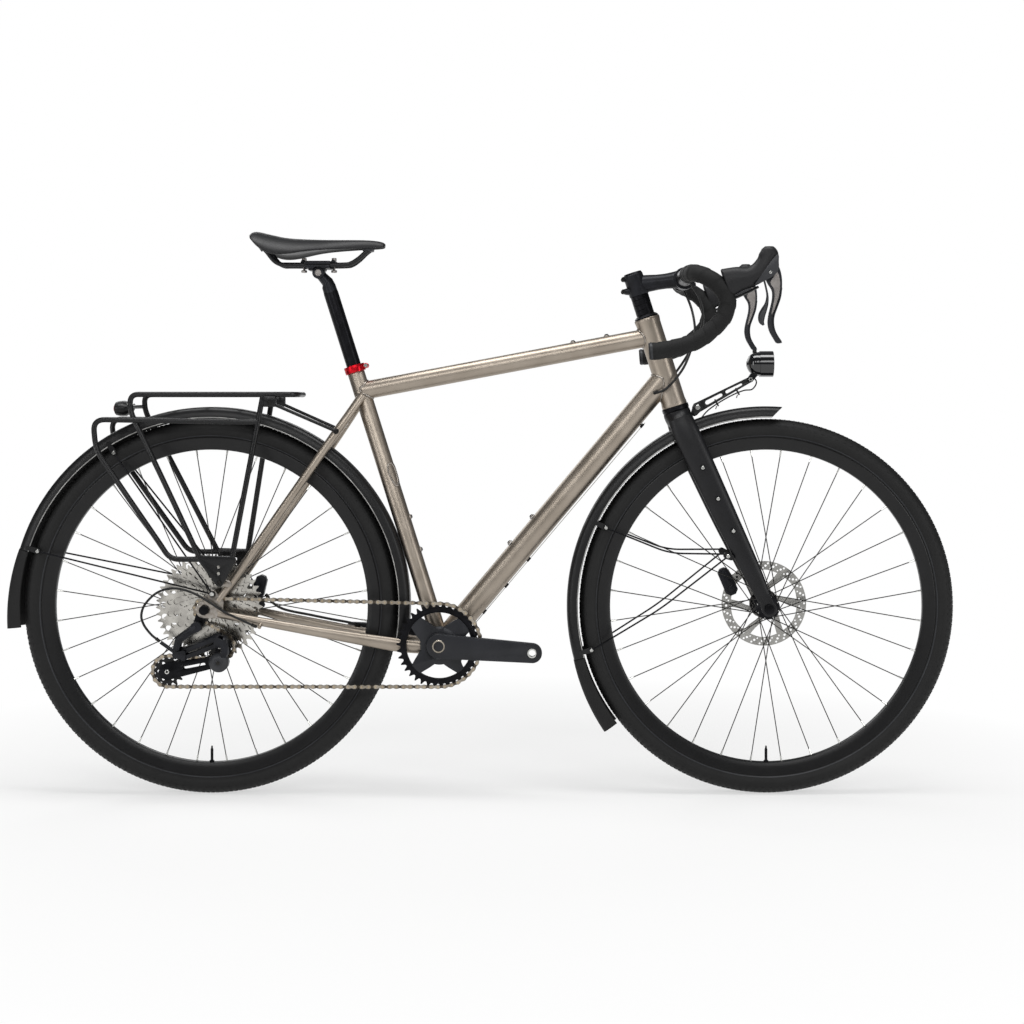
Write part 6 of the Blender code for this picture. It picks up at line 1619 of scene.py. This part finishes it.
def makeRails():
    rails, bolts = bmesh.new(), bmesh.new()
    for turn in (lambda p: [Vector(q) for q in p], mirrorPoints):
        sweep(rails, curved(turn(saddleFacts["rail"]), 6), (3.5, 4.2), 20)
    finishPiece(rails, "saddleRails", "satinCarbon", "saddle", ("saddle_rails",), 50)
    for name, low, high in (("saddleCradle", (-250, -27.5, 698), (-206, 27.5, 703.6)),
                            ("cradleSeat", (-246, -18, 694.6), (-216, 18, 698.6))):
        # both halves are hollowed to sit on the post's round head
        body, cutter = bmesh.new(), bmesh.new()
        block(body, low, high)
        rod(cutter, headAxis - Vector((0, 40, 0)), headAxis + Vector((0, 40, 0)), 11.4, 48)
        body = carved(body, cutter)
        softened(body, 0.9)
        finishPiece(body, name, "forgedBlack", "saddle", ())
    clamps = bmesh.new()
    for side in (-1, 1):
        low, high = sorted((side * 15.5, side * 29))
        block(clamps, (-253, low, 704.6), (-203, high, 711.6), 2.4)
    for x in (-256, -200):
        rod(clamps, (x, -16, 709.6), (x, 16, 709.6), 4.4, 20)
        rod(bolts, (x, 0, 692), (x, 0, 713.6), 2.3, 16)
        lathe(bolts, [(0.01, 0), (4.6, 0), (4.6, 4.2), (3.8, 5), (2.2, 5), (2.2, 1.6), (0.01, 1.6)], (x, 0, 713.4),
              (0, 0, 1), 24)
        lathe(bolts, [(2.3, 0), (5, 0), (5.4, 1), (5.4, 3.4), (5, 4.4), (2.3, 4.4)], (x, 0, 691), (0, 0, 1), 24)
        block(clamps, (min(x, -228) if x < -228 else -212, -6, 697.6), (-244 if x < -228 else x + 0.5, 6, 702.6), 1.2)
    finishPiece(clamps, "railClamps", "forgedBlack", "saddle", ())
    finishPiece(bolts, "clampBolts", "leverGrey", "saddle", ())


def makeSeatpost():
    post, head = bmesh.new(), bmesh.new()
    lathe(post, [(10.8, 372), (13.2, 372), (13.6, 372.6), (13.6, 684), (13.2, 688), (11, 692), (0.01, 693),
                 (0.01, 690), (10.8, 680)],
          (0, 0, 0), seatWay, 64)
    finishPiece(post, "postTube", "blackAnodised", "seatpost", ("seatpost",))
    top = seatWay * 672
    sweep(head, [top, seatWay * 698, seatWay * 706, headAxis.lerp(seatWay * 706, 0.3), headAxis],
          ((13.5, 13.5), (13.5, 12.8), (13.2, 11), (12.6, 9.4), (12, 8)), 36)
    lathe(head, [(4, -15.6), (10.2, -15.6), (11, -14.8), (11, 14.8), (10.2, 15.6), (4, 15.6)], headAxis, (0, 1, 0), 48)
    finishPiece(head, "postHead", "forgedBlack", "seatpost", (), 45)
    caps = bmesh.new()
    lathe(caps, [(0.01, -16.6), (5.6, -16.6), (6.2, -16), (6.2, 16), (5.6, 16.6), (0.01, 16.6)], headAxis,
          (0, 1, 0), 32)
    finishPiece(caps, "postPivotCaps", "leverGrey", "seatpost", ())
    clampBolt = bmesh.new()
    front = Vector((seatWay.z, 0, -seatWay.x))
    foot = seatWay * 535.5 + front * 22
    rod(clampBolt, foot - Vector((0, 10.4, 0)), foot + Vector((0, 10.4, 0)), 2.5, 16)
    for side in (-1, 1):
        makeBolt(clampBolt, foot + Vector((0, side * 9.2, 0)), (0, side, 0), 4.0, 2.6)
    finishPiece(clampBolt, "seatClampBolt", "silverSteel", "frame", ())


makeSaddle()
makeRails()
makeSeatpost()
print("saddle made")


# Derailleur details and small wiring

def makeDerailleurDetails():
    cover, bolts = bmesh.new(), bmesh.new()
    pivot = point(-399.3, -26.1)
    lathe(cover, [(0.01, -97.2), (8, -97.2), (10.5, -96.6), (13.6, -94.6), (16.4, -92.2), (17.8, -90.4),
                  (17.8, -88), (14, -88),
                  (0.01, -92)], pivot, steps=64)
    lathe(cover, [(5.4, -98), (6.6, -98), (6.8, -97.2), (6.8, -96), (5.2, -96), (5.2, -97.2)], pivot, steps=32)
    finishPiece(cover, "clutchCover", "moulderGrey", "p_knuckle", ())
    makeBolt(bolts, pivot + Vector((0, -97, 0)), (0, -1, 0), 3.6, 1.6)
    finishPiece(bolts, "clutchBolt", "spokeSteel", "p_knuckle", ())
    screws = bmesh.new()
    makeBolt(screws, Vector((-440.6, -80.5, 38.4)), (0, -1, 0), 7.2, 4.0, 0.5)
    for x, z in ((-468, -20), (-462, -28)):
        rod(screws, (x, -98, z), (x - 5, -92, z - 4), 1.6, 12)
    finishPiece(screws, "hangerBolt", "blackAnodised", "frame", ())
    for node in ("upper", "lower"):
        _, centre, _, _, depth = next(s for s in sprockets if s[0] == node)
        pins = bmesh.new()
        makeBolt(pins, Vector((centre.x, depth - 8.6, centre.z)), (0, -1, 0), 4.2, 1.8)
        finishPiece(pins, node + "PulleyBolt", "silverSteel", "cage", ())


def makeWires():
    # the bare gear wire under the down tube, with the stops that hold it, and the lamp's lead along its arm
    wire, clips = bmesh.new(), bmesh.new()
    under = Vector((downWay.z, 0, -downWay.x))
    rod(wire, downWay * 52 + under * 26.4, downWay * 560 + under * 26.4, 0.7, 8)
    finishPiece(wire, "gearWire", "silverSteel", "frame", ())
    for along in (96, 160, 224, 552):
        spot = downWay * along + under * 25.6
        rod(clips, spot - downWay * 4.5, spot + downWay * 4.5, 2.3, 14)
        rod(clips, spot - under * 4.5, spot + under * 0.5, 2.1, 12)
    finishPiece(clips, "wireStops", "blackAnodised", "frame", ())
    lead, ties = bmesh.new(), bmesh.new()
    path = curved([(583, -2, 498), (590, -6, 486), (582, -7.5, 473), (566, -6, 470.5), (545, -6, 462), (520, -6, 448),
                   (500, -7, 434), (487, -12, 420), (478, -20, 408), (472, -27, 398)], 8)
    sweep(lead, path, (1.3, 1.3), 10)
    finishPiece(lead, "lampLead", "housingPvc", "steering", ())
    for x, z in ((553, 465.6), (514, 444.6)):
        lathe(ties, [(6.6, -1.2), (7.5, -1.2), (7.5, 1.2), (6.6, 1.2)], (x + 2, 0, z + 3), (0.87, 0, 0.48), 24)
        rod(ties, (x + 2, -1.5, z - 3), (x, -1.5, z - 9), 0.9, 8)
    finishPiece(ties, "leadTies", "mouldedBlack", "steering", ())


def makeChainPins():
    ends = bmesh.new()
    for pin in pins:
        rod(ends, pin - Vector((0, 3.1, 0)), pin + Vector((0, 3.1, 0)), 1.5, 10)
    finishPiece(ends, "chainPinEnds", "bronzePin", "frame", (), 30)


makeDerailleurDetails()
makeWires()
makeChainPins()
print("details made")


# CAD solids that keep their own shape, with smooth shading and broken edges

kept = {
    "seat_clamp": ("redAnodised", 0.5), "headset_cup": ("blackAnodised", 0.6), "rear_caliper": ("forgedBlack", 1.0),
    "front_caliper": ("forgedBlack", 1.0), "derailleur_outer_link": ("forgedBlack", 0.7),
    "derailleur_inner_link": ("forgedBlack", 0.7), "derailleur_b_knuckle": ("forgedBlack", 0.8),
    "derailleur_p_knuckle": ("forgedBlack", 0.8), "derailleur_cage": ("blackAnodised", 0.3),
    "light_bracket": ("powderCoat", 0.7), "rear_axle": ("blackAnodised", 0.6), "front_axle": ("blackAnodised", 0.6),
}
for node, (finish, width) in kept.items():
    dressNode(node, finish, width)

replacedNodes = {name for piece in bpy.data.objects for name in piece.get("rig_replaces", [])}
plain = {
    "titanium": "topTitanium", "red_anodised": "redAnodised", "black_metal": "blackAnodised",
    "matte_carbon": "satinCarbon", "bar_tape": "barTape", "rubber": "hoodRubber", "tyre": "tyreRubber",
    "black_plastic": "mouldedBlack", "gloss_black": "glossLamp", "steel": "nickelPlate", "chain_steel": "chainOuter",
    "saddle_cover": "saddleSkin",
}
slotOf = {part["node"]: part["material_slot"] for part in frame["record"]["subparts"]}
for node in sorted(frame["nodes"]):
    if node not in replacedNodes:
        dressNode(node, plain[slotOf[node]])
print("solids dressed")


# Floor, lights and camera

def makeStage():
    bm = bmesh.new()
    bmesh.ops.create_grid(bm, x_segments=1, y_segments=1, size=14)
    bmesh.ops.translate(bm, vec=(0, 0, -0.2825), verts=bm.verts)
    mesh = bpy.data.meshes.new("studioFloor")
    bm.to_mesh(mesh)
    bm.free()
    floor = bpy.data.objects.new("studioFloor", mesh)
    bpy.context.scene.collection.objects.link(floor)
    paint, tree, shader = newFinish("floorPaint", "f4f4f3", 0.9)
    shader.inputs["Specular IOR Level"].default_value = 0.1
    rays = addNode(tree, "LightPath").outputs
    seen = addNode(tree, "Math", {"operation": "MAXIMUM"}, {0: rays["Is Camera Ray"], 1: rays["Is Glossy Ray"]})
    # the floor's own shade fades to plain white away from the bicycle
    spot = addNode(tree, "TexCoord").outputs["Object"]
    away = addNode(tree, "VectorMath", {"operation": "LENGTH"}, {0: spot}).outputs["Value"]
    fade = between(tree, away, 0.55, 1.0, 0.75, 1.5)
    share = addNode(tree, "Math", {"operation": "MULTIPLY"}, {0: seen.outputs["Value"], 1: fade})
    glow = addNode(tree, "Emission", {"Color": (1, 1, 1, 1), "Strength": 1.0})
    mix = addNode(tree, "MixShader", None, {0: share.outputs["Value"], 1: shader.outputs["BSDF"],
                                            2: glow.outputs["Emission"]})
    tree.links.new(mix.outputs["Shader"], tree.nodes["Material Output"].inputs["Surface"])
    paint.cycles.emission_sampling = "NONE"  # the glow is only seen, so it takes no share of the light's samples
    mesh.materials.append(paint)


def makeWorld():
    world = bpy.data.worlds.new("studioWorld")
    bpy.context.scene.world = world
    world.use_nodes = True
    tree = world.node_tree
    rays = addNode(tree, "LightPath").outputs
    seen = addNode(tree, "Math", {"operation": "MAXIMUM"}, {0: rays["Is Camera Ray"], 1: rays["Is Transmission Ray"]})
    plain = tree.nodes["Background"]
    plain.inputs["Color"].default_value = (0.95, 0.97, 1.0, 1)
    plain.inputs["Strength"].default_value = 0.16
    white = addNode(tree, "Background", {"Color": (1, 1, 1, 1), "Strength": 1.0})
    mix = addNode(tree, "MixShader", None, {0: seen.outputs["Value"], 1: plain.outputs["Background"],
                                            2: white.outputs["Background"]})
    tree.links.new(mix.outputs["Shader"], tree.nodes["World Output"].inputs["Surface"])


lamps = {
    "topSoftbox": {"place": (0.0, -0.3, 2.6), "aim": (0.1, 0, 0.2), "size": (3.0, 0.8), "watts": 56},
    "frontStrip": {"place": (-0.2, -3.2, 1.9), "aim": (0.1, 0, 0.15), "size": (3.2, 0.9), "watts": 38},
    "rightStrip": {"place": (2.8, -2.0, 0.9), "aim": (0.2, 0, 0.1), "size": (0.5, 2.2), "watts": 20},
    "leftStrip": {"place": (-2.6, -2.2, 0.9), "aim": (0.0, 0, 0.1), "size": (0.4, 2.2), "watts": 16},
    "backSoftbox": {"place": (-1.2, 2.8, 1.6), "aim": (0, 0, 0.2), "size": (2.6, 1.4), "watts": 22},
}


def makeLamps():
    for name, facts in lamps.items():
        light = bpy.data.lights.new(name, "AREA")
        light.shape = "RECTANGLE"
        light.size, light.size_y = facts["size"]
        light.energy = facts["watts"]
        lamp = bpy.data.objects.new(name, light)
        lamp.location = facts["place"]
        lamp.rotation_euler = (Vector(facts["aim"]) - lamp.location).to_track_quat("-Z", "Y").to_euler()
        bpy.context.scene.collection.objects.link(lamp)


cameraFacts = {"place": (0.234, -3.433, 0.449), "lens": 64.47, "shift": (-0.0527, -0.1074)}


def makeCamera():
    lens = bpy.data.cameras.new("studioCamera")
    lens.sensor_width = 36
    lens.lens = cameraFacts["lens"]
    lens.shift_x, lens.shift_y = cameraFacts["shift"]
    camera = bpy.data.objects.new("studioCamera", lens)
    camera.location = cameraFacts["place"]
    camera.rotation_euler = (math.pi / 2, 0, 0)
    bpy.context.scene.collection.objects.link(camera)
    bpy.context.scene.camera = camera


makeStage()
makeWorld()
makeLamps()
makeCamera()
bpy.context.scene.view_settings.view_transform = "Standard"
print("stage set")
